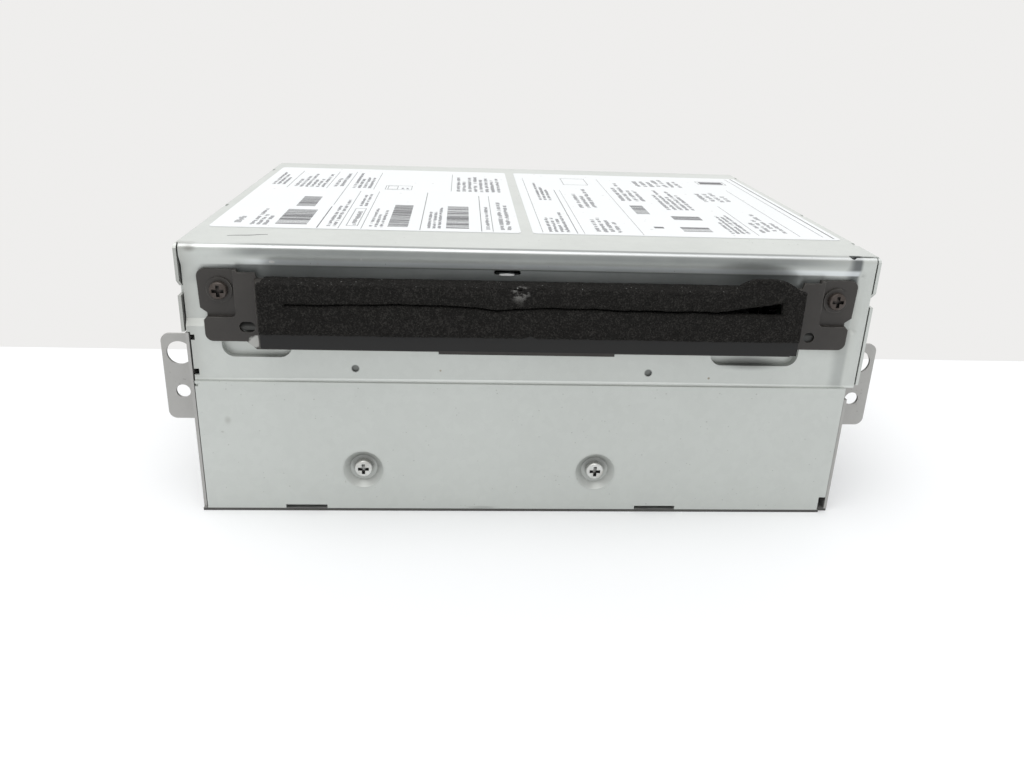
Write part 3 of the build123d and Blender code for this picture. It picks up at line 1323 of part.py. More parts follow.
def pickup_sled():
    """Pickup body between the two rods, with its long bearing and open fork."""
    x0 = SLED_X - SLED_HALF
    x1 = SLED_X + SLED_HALF
    body = box(x0, x1, SPINDLE_Y - 12, SPINDLE_Y + 12, DECK_Z - 2.4, ROD_Z + 1.2)
    body += box(x0 + 2, x1 - 2, SPINDLE_Y - 15, SPINDLE_Y + 16, DECK_Z + 1.6, ROD_Z + 1.2)
    body += box(x0, x1, ROD_FRONT_Y - 3, ROD_FRONT_Y + 3, ROD_Z - 2.6, ROD_Z + 2.6)
    body += box(x0 + 2, x1 - 2, ROD_FRONT_Y + 2, SPINDLE_Y - 11, DECK_Z + 1.6, ROD_Z + 1.2)
    body += box(x0 + 6, x1 - 6, SPINDLE_Y + 11, ROD_BACK_Y + 3, ROD_Z - 2.6, ROD_Z + 2.6)
    body -= rod_x(ROD_FRONT_Y, ROD_Z, ROD_R + RUN_FIT, x0 - 1, x1 + 1)
    fork = ROD_R + RUN_FIT
    body -= box(x0, x1, ROD_BACK_Y - fork, ROD_BACK_Y + 4, ROD_Z - fork, ROD_Z + fork)
    body -= rod_z(SLED_X, SPINDLE_Y, 7.4, ROD_Z - 1.6, ROD_Z + 3)
    body -= box(x0 + 3, x1 - 3, SPINDLE_Y - 11, SPINDLE_Y - 8.5, ROD_Z - 0.5, ROD_Z + 3)
    return body + nut_comb()


def nut_comb():
    """Half nut on the sled that rides over the lead screw."""
    x0 = SLED_X - 6
    x1 = SLED_X + 6
    comb = box(x0, x1, SCREW_Y - 0.4, ROD_FRONT_Y - 2.5, ROD_Z + 1.7, ROD_Z + 2.6)
    saddle = disc(SCREW_Y, ROD_Z, LEAD_R + 1.1) - disc(SCREW_Y, ROD_Z, LEAD_R + 0.08)
    saddle &= rect(SCREW_Y - 4, SCREW_Y + 4, ROD_Z - 0.2, ROD_Z + 4)
    return comb + slab_yz(saddle, x0, x1)


def lens_holder():
    """Lens holder on its suspension, in the sled's well."""
    holder = rod_z(SLED_X, SPINDLE_Y, 5.0, ROD_Z - 0.5, ROD_Z + 2.6)
    holder += box(SLED_X - 6, SLED_X + 6, SPINDLE_Y - 3.6, SPINDLE_Y + 3.6, ROD_Z - 0.5, ROD_Z + 0.9)
    return holder - rod_z(SLED_X, SPINDLE_Y, 2.4, ROD_Z - 1, ROD_Z + 3)


def objective_lens():
    """Objective lens seated in the holder, with a domed top."""
    radius = 2.38
    dome = 5.0
    disc_part = Pos(SLED_X, SPINDLE_Y, ROD_Z + 1.9) * Cylinder(radius, 2.2)
    return disc_part & (Pos(SLED_X, SPINDLE_Y, ROD_Z + 3.0 - dome) * Sphere(dome))


def guide_rods():
    """Two steel rods that the sled runs on."""
    group = Part()
    for y in (ROD_FRONT_Y, ROD_BACK_Y):
        group += rod_x(y, ROD_Z, ROD_R, ROD_LEFT - 1.0, ROD_RIGHT + 1.0)
    return group


def lead_screw():
    """Lead screw with its helical rib, carried between the motor and the left bearing."""
    end = LEAD_MOTOR_X + 2
    screw = rod_x(SCREW_Y, ROD_Z, LEAD_R - 0.4, ROD_LEFT - 0.4, end)
    length = LEAD_MOTOR_X - 1.0 - (ROD_LEFT + 1.2)
    path = Helix(pitch=SCREW_PITCH, height=length, radius=LEAD_R - 0.3)
    section = Plane(origin=path @ 0, x_dir=(1, 0, 0), z_dir=path % 0) * Rectangle(0.6, 1.0)
    rib = sweep(section, path=path, is_frenet=True)
    return screw + Pos(ROD_LEFT + 1.2, SCREW_Y, ROD_Z) * Rot(0, 90, 0) * rib


def lead_motor():
    """Small stepping motor of the lead screw, in its bracket, with the far bearing."""
    motor = rod_x(SCREW_Y, ROD_Z, LEAD_MOTOR_R, LEAD_MOTOR_X, LEAD_MOTOR_X + 11)
    motor -= rod_x(SCREW_Y, ROD_Z, LEAD_R - 0.4 + RUN_FIT, LEAD_MOTOR_X - 1, LEAD_MOTOR_X + 2.4)
    motor += box(LEAD_MOTOR_X + 1, LEAD_MOTOR_X + 10, SCREW_Y - 3, SCREW_Y + 3, DECK_Z + DECK_SHEET, ROD_Z - 2)
    return motor


def screw_bearing():
    """Bearing tab at the far end of the lead screw."""
    block = box(ROD_LEFT - 0.8, ROD_LEFT + 0.8, SCREW_Y - 2, SCREW_Y + 2.05, DECK_Z + 0.5, ROD_Z + 2.2)
    return block - rod_x(SCREW_Y, ROD_Z, LEAD_R - 0.4 + RUN_FIT, ROD_LEFT - 0.5, ROD_LEFT + 1)


def deck_bracket(side):
    """Sheet bracket on the side wall that carries the dampers and the springs of one side."""
    x_in = side * BRACKET_X
    x_out = side * (BRACKET_X + SHEET)
    wall = (RIGHT_WALL - SHEET) if side > 0 else (LEFT_WALL + SHEET)
    face = rect(16, 128, BRACKET_LOW, BRACKET_HIGH, 2)
    for y in DAMPER_PLACES:
        face -= disc(y, DAMPER_Z, DAMPER_NECK_R + SCREW_FIT)
    face -= rect(60, 90, 50, 64, 3)
    bracket = slab_yz(face, min(x_in, x_out), max(x_in, x_out))
    foot = box(min(x_in, wall), max(x_in, wall), 24, 122, BRACKET_LOW, BRACKET_LOW + SHEET)
    foot_side = wall - side * SHEET
    foot += box(min(wall, foot_side), max(wall, foot_side), 24, 122, BRACKET_LOW, BRACKET_LOW + 6)
    for y in (30.0, 120.0):
        foot -= rod_x(y, BRACKET_LOW + 3, SCREW_R + 0.2, min(wall, foot_side) - 1, max(wall, foot_side) + 1)
    bracket += foot
    for y in SPRING_PLACES:
        tab0, tab1 = x_out, side * (DECK_HALF - 0.4)
        tab = box(min(tab0, tab1), max(tab0, tab1), y - 2.5, y + 2.5, BRACKET_HIGH - SHEET, BRACKET_HIGH)
        bracket += tab - rod_z(spring_x(side) - side * SPRING_R, y, 0.55, BRACKET_HIGH - 2, BRACKET_HIGH + 1)
    return bracket


def dampers():
    """Rubber damper cups, waisted into the brackets, each round one pin of the drive."""
    group = Part()
    low = BRACKET_X - 1.6
    for side in (-1, 1):
        for y in DAMPER_PLACES:
            points = [
                (low, DAMPER_PIN_R + DAMPER_ROOM),
                (low, DAMPER_R),
                (BRACKET_X - 0.05, DAMPER_R),
                (BRACKET_X - 0.05, DAMPER_NECK_R),
                (BRACKET_X + SHEET + 0.05, DAMPER_NECK_R),
                (BRACKET_X + SHEET + 0.05, DAMPER_R),
                (BRACKET_X + DAMPER_LENGTH, DAMPER_R - 1),
                (BRACKET_X + DAMPER_LENGTH, 0),
                (BRACKET_X + DAMPER_LENGTH - 1, 0),
                (BRACKET_X + DAMPER_LENGTH - 1, DAMPER_PIN_R + DAMPER_ROOM),
            ]
            cup = revolve(outline(points), Axis.X)
            if side < 0:
                cup = cup.rotate(Axis.Z, 180)
            group += Pos(0, y, DAMPER_Z) * cup
    return group


def suspension_springs():
    """Four springs that hang the drive from its brackets."""
    low = DECK_Z + DECK_SHEET * 0.5
    spring = coil(SPRING_R, SPRING_WIRE, SPRING_TURNS, BRACKET_HIGH - SHEET * 0.5 - low)
    group = []
    for side in (-1, 1):
        for y in SPRING_PLACES:
            group.append(Pos(spring_x(side), y, low) * Rot(0, 0, 180 if side > 0 else 0) * spring)
    return Compound(group)


def bracket_screws():
    """Screws through the side walls into the drive's brackets."""
    group = Part()
    for side in (-1, 1):
        outer = LEFT_WALL if side < 0 else RIGHT_WALL
        for y in (30.0, 120.0):
            turn = -90 if side < 0 else 90
            group += Pos(outer, y, BRACKET_LOW + 3) * Rot(0, 0, turn) * screw_y(0, 0, 0, 3.4)
    return group


def deck_board():
    """Drive's control board under its floor, with the cable socket below."""
    sheet = rect(-62, 62, 22, 52, 1.5)
    sheet -= rect(14, 40, 40, 53)
    board = slab_xy(sheet, DECK_BOARD_Z, DECK_BOARD_Z + 1.2)
    for x in (-54, 54):
        board += rod_z(x, 28, 2.0, DECK_BOARD_Z + 1, DECK_Z)
    board += box(-12, 12, CABLE_Y - 2.2, CABLE_Y + 2.2, DECK_BOARD_Z - 3.2, DECK_BOARD_Z) - box(
        -11, 11, CABLE_Y - 0.6, CABLE_Y + 0.6, DECK_BOARD_Z - 4, DECK_BOARD_Z - 1
    )
    for x, y, w in ((-40, 38, 14), (-20, 44, 8), (44, 34, 10)):
        board += box(x - w / 2, x + w / 2, y - w / 2, y + w / 2, DECK_BOARD_Z - 1.4, DECK_BOARD_Z)
    return board


PARTS = {
    "top_cover": top_cover,
    "lower_front_panel": lower_front_panel,
    "base_plate": base_plate,
    "side_plate_left": lambda: side_plate(-1),
    "side_plate_right": lambda: side_plate(1),
    "rear_plate": rear_plate,
    "slot_flange": slot_flange,
    "foam_seal": foam_seal,
    "flange_screws": flange_screws,
    "panel_screws": panel_screws,
    "side_screws": lambda: cover_screws() + bracket_screws(),
    "front_bracket": front_bracket,
    "label_left": lambda: label(*LABEL_LEFT),
    "label_right": lambda: label(*LABEL_RIGHT),
    "heat_sink": heat_sink,
    "sink_screws": sink_screws,
    "main_connector": main_connector,
    "connector_pins": connector_pins,
    "bus_connector": bus_connector,
    "data_connector": data_connector,
    "antenna_jacks": antenna_jacks,
    "main_board": main_board,
    "board_posts": board_posts,
    "board_screws": board_screws,
    "board_chips": board_chips,
    "amplifier_chip": amplifier_chip,
    "amplifier_clamp": amplifier_clamp,
    "capacitors": capacitors,
    "tuner_can": tuner_can,
    "link_cable": link_cable,
    "deck_bracket_left": lambda: deck_bracket(-1),
    "deck_bracket_right": lambda: deck_bracket(1),
    "dampers": dampers,
    "suspension_springs": suspension_springs,
    "deck_base": deck_base,
    "deck_top": deck_top,
    "deck_board": deck_board,
    "disc_guide": disc_guide,
    "pivot_pins": pivot_pins,
    "roller_arm": roller_arm,
    "roller_shaft": roller_shaft,
    "rubber_rollers": rubber_rollers,
    "roller_gear": roller_gear,
    "idler_gear": idler_gear,
    "pulley_gear": pulley_gear,
    "drive_belt": drive_belt,
    "loading_motor": loading_motor,
    "motor_pulley": motor_pulley,
    "shift_plate": shift_plate,
    "spindle_motor": spindle_motor,
    "turntable": turntable,
    "clamp_arm": clamp_arm,
    "clamp_puck": clamp_puck,
    "clamp_spring": clamp_spring,
    "pickup_sled": pickup_sled,
    "lens_holder": lens_holder,
    "objective_lens": objective_lens,
    "guide_rods": guide_rods,
    "lead_screw": lead_screw,
    "lead_motor": lead_motor,
}

if __name__ == "__main__":
    os.makedirs("parts", exist_ok=True)
    for name, make in PARTS.items():
        export_step(SHIFT * make(), f"parts/{name}.step")
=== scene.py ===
"""Dresses a boxed car head unit: sheet metal, slot flange, foam, print, boards and the disc drive.

Every length is in metres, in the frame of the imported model: +X right, +Y back, +Z up.
"""
from __future__ import annotations

import json
import logging
import math
from dataclasses import dataclass
from enum import Enum

import bpy
import numpy as np
from mathutils import Matrix, Vector

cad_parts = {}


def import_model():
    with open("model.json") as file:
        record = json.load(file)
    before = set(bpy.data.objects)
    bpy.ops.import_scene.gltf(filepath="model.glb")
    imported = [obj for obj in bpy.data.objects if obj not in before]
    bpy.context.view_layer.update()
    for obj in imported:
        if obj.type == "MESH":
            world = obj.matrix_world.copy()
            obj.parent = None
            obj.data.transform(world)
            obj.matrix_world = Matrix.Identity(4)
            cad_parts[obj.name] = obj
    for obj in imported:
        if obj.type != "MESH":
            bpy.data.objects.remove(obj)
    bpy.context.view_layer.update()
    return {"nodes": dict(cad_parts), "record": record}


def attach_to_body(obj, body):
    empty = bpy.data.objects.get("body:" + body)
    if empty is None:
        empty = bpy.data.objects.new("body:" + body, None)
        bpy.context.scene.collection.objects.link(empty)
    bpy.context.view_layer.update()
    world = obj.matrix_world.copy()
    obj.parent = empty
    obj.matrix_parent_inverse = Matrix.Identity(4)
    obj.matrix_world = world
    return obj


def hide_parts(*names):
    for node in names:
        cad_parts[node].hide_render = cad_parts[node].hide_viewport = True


LOG = logging.getLogger("head_unit")
MM = 0.001
SIDE = 0.75
FRONT = -72.0
WELD_REACH = 2e-6
SHARP_DEGREES = 32
RGB = tuple[float, float, float]
Point = tuple[float, float, float]
Pair = tuple[float, float]
Material = bpy.types.Material
Node = bpy.types.Node
Object = bpy.types.Object
Socket = bpy.types.NodeSocket


def at(x: float, y: float, z: float) -> Point:
    """Place in the model's frame of a point given in millimetres from the middle of the front plane."""
    return ((x + SIDE) * MM, (y + FRONT) * MM, z * MM)


def placed(points: np.ndarray) -> np.ndarray:
    """The same for an array whose last axis holds x, y, z."""
    return (points + np.array([SIDE, FRONT, 0.0])) * MM


# Shader groups and finishes


class Tree:
    """A node tree with short calls to add and join nodes."""

    def __init__(self, tree: bpy.types.NodeTree) -> None:
        """Keeps the tree."""
        self.tree = tree

    def add(self, kind: str, settings: dict | None = None, **inputs: object) -> Node:
        """Adds a node.

        Args:
            kind: node type, without the ShaderNode prefix.
            settings: attributes to set on the node.
            inputs: socket values or sockets by socket name, with _ for a space.
        Returns:
            The new node.
        """
        node = self.tree.nodes.new(kind if kind.startswith("Node") else "ShaderNode" + kind)
        for name, value in (settings or {}).items():
            setattr(node, name, value)
        for name, value in inputs.items():
            self.put(node, name.replace("_", " "), value)
        return node

    def put(self, node: Node, name: str | int, value: object) -> None:
        """Links a socket to an input, or sets the input's value."""
        socket = node.inputs[name]
        if isinstance(value, Socket):
            self.tree.links.new(value, socket)
        elif isinstance(value, tuple) and socket.type == "RGBA":
            socket.default_value = (*value[:3], 1.0)
        else:
            socket.default_value = value

    def math(self, operation: str, a: object, b: object = 0.0) -> Socket:
        """Output of one Math node."""
        node = self.add("Math", {"operation": operation})
        self.put(node, 0, a)
        self.put(node, 1, b)
        return node.outputs[0]

    def times(self, first: object, *others: object) -> Socket:
        """Product of all the values."""
        for other in others:
            first = self.math("MULTIPLY", first, other)
        return first

    def vector(self, operation: str, a: object, b: object = (0.0, 0.0, 0.0), scale: object = 1.0) -> Node:
        """One Vector Math node."""
        node = self.add("VectorMath", {"operation": operation})
        self.put(node, 0, a)
        self.put(node, 1, b)
        self.put(node, 3, scale)
        return node

    def ramp(self, value: object, low: float, high: float, first: float = 0.0, last: float = 1.0) -> Socket:
        """Value carried smoothly from low..high to first..last, and held outside."""
        spans = {"From_Min": low, "From_Max": high, "To_Min": first, "To_Max": last}
        node = self.add("MapRange", {"interpolation_type": "SMOOTHSTEP"}, Value=value, **spans)
        return node.outputs["Result"]

    def fade(self, value: object, span: Pair, low: float = 0.0, high: float = 1.0) -> Socket:
        """As ramp, for a place: the span is in millimetres."""
        return self.ramp(value, span[0] * MM, span[1] * MM, low, high)

    def depth(self, y: object, span: Pair, low: float = 0.0, high: float = 1.0) -> Socket:
        """As fade, with the span counted back from the front plane."""
        return self.fade(y, (span[0] + FRONT, span[1] + FRONT), low, high)

    def mix(self, factor: object, a: object, b: object) -> Socket:
        """Colour between a and b."""
        node = self.add("Mix", {"data_type": "RGBA"})
        self.put(node, 0, factor)
        self.put(node, 6, a)
        self.put(node, 7, b)
        return node.outputs[2]

    def group(self, name: str, **inputs: object) -> Socket:
        """Places a shared group with its own values and gives its output."""
        node = self.add("Group", {"node_tree": bpy.data.node_groups[name]})
        for key, value in inputs.items():
            self.put(node, key, value)
        return node.outputs[0]


def new_group(
    name: str, inputs: dict[str, float | None], output: str
) -> tuple[Tree, bpy.types.NodeOutputs, Node]:
    """Starts a shader node group.

    Args:
        name: group name.
        inputs: default by input name, None for a vector.
        output: name of its one output, a number.
    Returns:
        The tree, the sockets of its input node, and its output node.
    """
    tree = bpy.data.node_groups.new(name, "ShaderNodeTree")
    for key, value in inputs.items():
        kind = "NodeSocketVector" if value is None else "NodeSocketFloat"
        socket = tree.interface.new_socket(name=key, in_out="INPUT", socket_type=kind)
        if value is not None:
            socket.default_value = value
    tree.interface.new_socket(name=output, in_out="OUTPUT", socket_type="NodeSocketFloat")
    wrapped = Tree(tree)
    return wrapped, wrapped.add("NodeGroupInput").outputs, wrapped.add("NodeGroupOutput")


def build_groups() -> None:
    """Builds the shared groups: grain, blotches, specks, spangle, scratches and worn edges."""
    t, i, o = new_group("Fine Grain", {"Vector": None, "Scale": 900.0, "Coarse": 0.3}, "Height")
    fine = t.add("TexNoise", Vector=i["Vector"], Scale=i["Scale"], Detail=4.0, Roughness=0.6)
    wide = t.add("TexNoise", Vector=i["Vector"], Scale=t.times(i["Scale"], 0.12), Detail=2.0)
    part = t.times(wide.outputs[0], i["Coarse"])
    t.put(o, "Height", t.math("ADD", fine.outputs[0], part))

    t, i, o = new_group("Blotches", {"Vector": None, "Scale": 60.0, "Spread": 0.15}, "Mask")
    cloud = t.add("TexNoise", Vector=i["Vector"], Scale=i["Scale"], Detail=5.0, Roughness=0.62)
    low = t.math("SUBTRACT", 0.5, i["Spread"])
    high = t.math("ADD", 0.5, i["Spread"])
    t.put(o, "Mask", t.ramp(cloud.outputs[0], low, high))

    t, i, o = new_group("Dirt Specks", {"Vector": None, "Scale": 180.0, "Size": 0.16, "Share": 0.3}, "Mask")
    cells = t.add("TexVoronoi", Vector=i["Vector"], Scale=i["Scale"])
    cut = t.times(i["Size"], cells.outputs["Color"])
    dot = t.ramp(t.math("SUBTRACT", cut, cells.outputs["Distance"]), 0.0, 0.05)
    place = t.add("TexNoise", Vector=i["Vector"], Scale=t.times(i["Scale"], 0.31))
    some = t.math("LESS_THAN", place.outputs[0], t.math("ADD", 0.3, t.times(i["Share"], 0.4)))
    t.put(o, "Mask", t.times(dot, some))

    t, i, o = new_group("Zinc Spangle", {"Vector": None, "Scale": 190.0}, "Value")
    bend = t.add("TexNoise", Vector=i["Vector"], Scale=t.times(i["Scale"], 1.6))
    moved = t.vector("SCALE", bend.outputs["Color"], scale=0.0025)
    warped = t.vector("ADD", i["Vector"], moved.outputs[0])
    crystal = t.add("TexVoronoi", Vector=warped.outputs[0], Scale=i["Scale"])
    grey = t.add("SeparateColor", Color=crystal.outputs["Color"])
    t.put(o, "Value", grey.outputs[0])

    t, i, o = new_group("Hairlines", {"Vector": None, "Scale": 30.0, "Amount": 0.5}, "Mask")
    stretch = t.add("Mapping", Vector=i["Vector"], Rotation=(0.3, 0.5, 0.9), Scale=(60.0, 3.0, 8.0))
    lines = t.add("TexNoise", Vector=stretch.outputs[0], Scale=i["Scale"], Detail=1.0)
    thin = t.ramp(lines.outputs[0], 0.66, 0.7)
    t.put(o, "Mask", t.times(thin, i["Amount"]))

    t, i, o = new_group("Worn Edges", {"Vector": None, "Radius": 0.0006, "Amount": 1.0}, "Mask")
    soft = t.add("Bevel", {"samples": 4}, Radius=i["Radius"])
    flat = t.add("NewGeometry")
    dot = t.vector("DOT_PRODUCT", soft.outputs[0], flat.outputs["Normal"])
    turn = t.ramp(dot.outputs["Value"], 0.97, 0.86)
    patch = t.add("TexNoise", Vector=i["Vector"], Scale=350.0, Detail=3.0)
    chip = t.ramp(patch.outputs[0], 0.42, 0.6)
    t.put(o, "Mask", t.times(turn, chip, i["Amount"]))


@dataclass(frozen=True)
class Finish:
    """Common parts of every finish: a name, a base colour and the shader's plain values."""

    name: str
    colour: RGB
    rough: float = 0.5
    metal: float = 0.0

    def start(self) -> tuple[Material, Tree, Node, Socket]:
        """Material with a Principled shader, and the Object coordinates its patterns read."""
        material = bpy.data.materials.new(self.name)
        material.use_nodes = True
        tree = Tree(material.node_tree)
        shader = material.node_tree.nodes["Principled BSDF"]
        tree.put(shader, "Base Color", self.colour)
        tree.put(shader, "Roughness", self.rough)
        tree.put(shader, "Metallic", self.metal)
        where = tree.add("TexCoord").outputs["Object"]
        return material, tree, shader, where

    def bump(self, tree: Tree, shader: Node, height: Socket, depth: float, strength: float = 1.0) -> None:
        """Feeds a height through a Bump node into the shader's normal."""
        node = tree.add("Bump", Strength=strength, Distance=depth, Height=height)
        tree.put(shader, "Normal", node.outputs[0])

    def make(self) -> Material:
        """Material of the finish; each kind of finish has its own."""
        raise NotImplementedError

    def shade(self, share: float) -> RGB:
        """The base colour, darker or lighter by that share."""
        return tuple(min(c * share, 1.0) for c in self.colour)


@dataclass(frozen=True)
class Spot:
    """A round or stretched patch of colour on a front face, in millimetres; flat squeezes it top to bottom.
    Some are real marks, others painted shade and painted highlights.
    """

    x: float
    z: float
    reach: float
    strength: float
    tone: RGB = (0.10, 0.10, 0.095)
    flat: float = 1.0
    soft: float = 0.35

    def paint(self, tree: Tree, where: Socket, axes: Node, colour: Socket) -> Socket:
        """Colour carried towards the tone inside the reach, on what lies within 3 mm of the front."""
        squeezed = tree.vector("MULTIPLY", where, (1.0, 0.0, self.flat)).outputs[0]
        middle = ((self.x + SIDE) * MM, 0.0, self.z * MM * self.flat)
        away = tree.vector("DISTANCE", squeezed, middle).outputs["Value"]
        mask = tree.fade(away, (self.reach, self.reach * (1 - self.soft)), 0.0, self.strength)
        return tree.mix(tree.times(mask, tree.depth(axes.outputs["Y"], (3.4, 3.0))), colour, self.tone)


@dataclass(frozen=True)
class ShadeBand:
    """Painted shade above the flange: a dark band over the recess, slanting at its left end and deepened by
    a painted crease shadow at its right, under a painted highlight on the bend.

    Each pair is where a fade starts and where it ends, in millimetres. depth and bend_depth count back from
    the front plane, and the others are places in the model's frame.
    """

    depth: Pair = (2.8, 1.9)
    over: Pair = (71.3, 73.2)
    under: Pair = (70.0, 69.5)
    foot: Pair = (64.0, 67.0)
    lean: float = 1.2
    left: Pair = (-169.0, -157.0)
    right: Pair = (66.0, 84.0)
    end: Pair = (86.7, 85.6)
    crease: Pair = (81.4, 84.6)
    crease_rise: Pair = (55.0, 73.0)
    bend: Pair = (74.1, 74.6)
    bend_depth: Pair = (1.3, 0.7)
    step_top: Pair = (71.8, 70.9)
    step_foot: Pair = (69.7, 70.1)
    step_left: Pair = (-76.0, -66.0)
    # The tone is the colour of the painted shade; the bend tone paints a highlight on the bend, and the
    # step tone paints light on the step below it.
    tone: RGB = (0.050, 0.057, 0.062)
    bend_highlight: RGB = (0.80, 0.82, 0.82)
    step_light: RGB = (0.86, 0.90, 0.92)

    def paint(self, tree: Tree, where: Socket, axes: Node, colour: Socket) -> Socket:
        """Colour with the painted shade band, the painted shadow at its crease, the painted highlight on
        the bend and the painted light on the step below it.
        """
        x, y, z = (axes.outputs[k] for k in "XYZ")
        near = tree.depth(y, self.depth)
        end = tree.fade(x, self.end)
        deep = tree.math("MAXIMUM", tree.fade(z, self.over, 0.0, 0.60), tree.fade(z, self.under, 0.0, 0.70))
        slant = tree.math("SUBTRACT", x, tree.times(z, self.lean))
        cloud = tree.group("Blotches", Vector=where, Scale=55.0, Spread=0.35)
        mask = tree.times(deep, tree.fade(z, self.foot), tree.fade(slant, self.left), end)
        mask = tree.times(mask, tree.fade(x, self.right, 1.0, 0.42), tree.ramp(cloud, 0.0, 1.0, 0.88, 1.0))
        crease = tree.times(tree.fade(x, self.crease), end, tree.fade(z, self.crease_rise, 0.28, 0.82))
        colour = tree.mix(tree.times(tree.math("MAXIMUM", mask, crease), near), colour, self.tone)
        bend = tree.times(tree.fade(z, self.bend), tree.depth(y, self.bend_depth, 0.0, 0.6))
        colour = tree.mix(bend, colour, self.bend_highlight)
        step = tree.times(tree.fade(z, self.step_top), tree.fade(z, self.step_foot, 0.0, 0.6))
        step = tree.times(step, tree.fade(x, self.step_left), near, end)
        return tree.mix(step, colour, self.step_light)


@dataclass(frozen=True)
class ZincSheet(Finish):
    """Galvanised sheet: dull grey with faint spangle, smears, specks, hairlines, and at set places marks,
    painted shade and painted highlights.
    """

    soot: RGB = (0.13, 0.125, 0.115)
    spangle: float = 0.012
    specks: float = 0.2
    stain_and_shade: ShadeBand | None = None
    raw_and_shaded_beyond: float | None = None
    spots: tuple[Spot, ...] = ()

    def make(self) -> Material:
        """Material of the sheet, with its painted shade band and its spots, some of them painted shade and
        highlights, where it has any.
        """
        material, tree, shader, where = self.start()
        crystal = tree.group("Zinc Spangle", Vector=where, Scale=520.0)
        tone = tree.ramp(crystal, 0.0, 1.0, 1.0 - self.spangle, 1.0 + self.spangle)
        smear = tree.group("Blotches", Vector=where, Scale=16.0, Spread=0.3)
        cloud = tree.group("Blotches", Vector=where, Scale=210.0, Spread=0.4)
        base = tree.mix(tree.times(smear, 0.45), self.colour, self.shade(0.90))
        base = tree.mix(tree.times(cloud, 0.3), base, self.shade(1.06))
        colour = tree.vector("SCALE", base, scale=tone).outputs[0]
        axes = tree.add("SeparateXYZ", Vector=where)
        # Painted shade above the flange, with a painted highlight on the bend and painted light on the
        # step, where the sheet has it.
        if self.stain_and_shade:
            colour = self.stain_and_shade.paint(tree, where, axes, colour)
        # Spots: real marks, and painted shade and highlights, where the sheet lists them.
        for spot in self.spots:
            colour = spot.paint(tree, where, axes, colour)
        # Dark front-facing cut edges: oxidised on the cover, painted shade on the base plate.
        if self.raw_and_shaded_beyond is not None:
            colour = self.raw_and_shaded_edge(tree, axes, colour)
        speck = tree.group("Dirt Specks", Vector=where, Scale=300.0, Size=0.15, Share=self.specks * 0.5)
        small = tree.group("Dirt Specks", Vector=where, Scale=760.0, Size=0.24, Share=self.specks)
        dirt = tree.math("MAXIMUM", speck, tree.times(small, 0.45))
        colour = tree.mix(tree.times(dirt, 0.6), colour, self.soot)
        tree.put(shader, "Base Color", colour)
        rough = tree.ramp(smear, 0.0, 1.0, self.rough - 0.04, self.rough + 0.06)
        tree.put(shader, "Roughness", tree.math("ADD", rough, tree.times(dirt, 0.3)))
        grain = tree.group("Fine Grain", Vector=where, Scale=700.0, Coarse=0.9)
        lines = tree.group("Hairlines", Vector=where, Scale=22.0, Amount=0.35)
        self.bump(tree, shader, tree.math("SUBTRACT", grain, lines), 0.000015, 0.5)
        return material

    def raw_and_shaded_edge(self, tree: Tree, axes: Node, colour: Socket) -> Socket:
        """Dark cut edges: ends that face the front, from the sheet's set distance in millimetres out;
        oxidised raw edge on the cover, painted shadow under the front edge on the base plate.
        """
        out = tree.math("ABSOLUTE", tree.math("SUBTRACT", axes.outputs["X"], SIDE * MM))
        far = tree.fade(out, (self.raw_and_shaded_beyond - 0.1, self.raw_and_shaded_beyond))
        facing = tree.add("SeparateXYZ", Vector=tree.add("NewGeometry").outputs["Normal"]).outputs["Y"]
        near = tree.depth(axes.outputs["Y"], (6.0, 5.0), 0.0, 0.85)
        mask = tree.times(far, tree.ramp(facing, -0.4, -0.7), near)
        return tree.mix(mask, colour, (0.035, 0.033, 0.03))


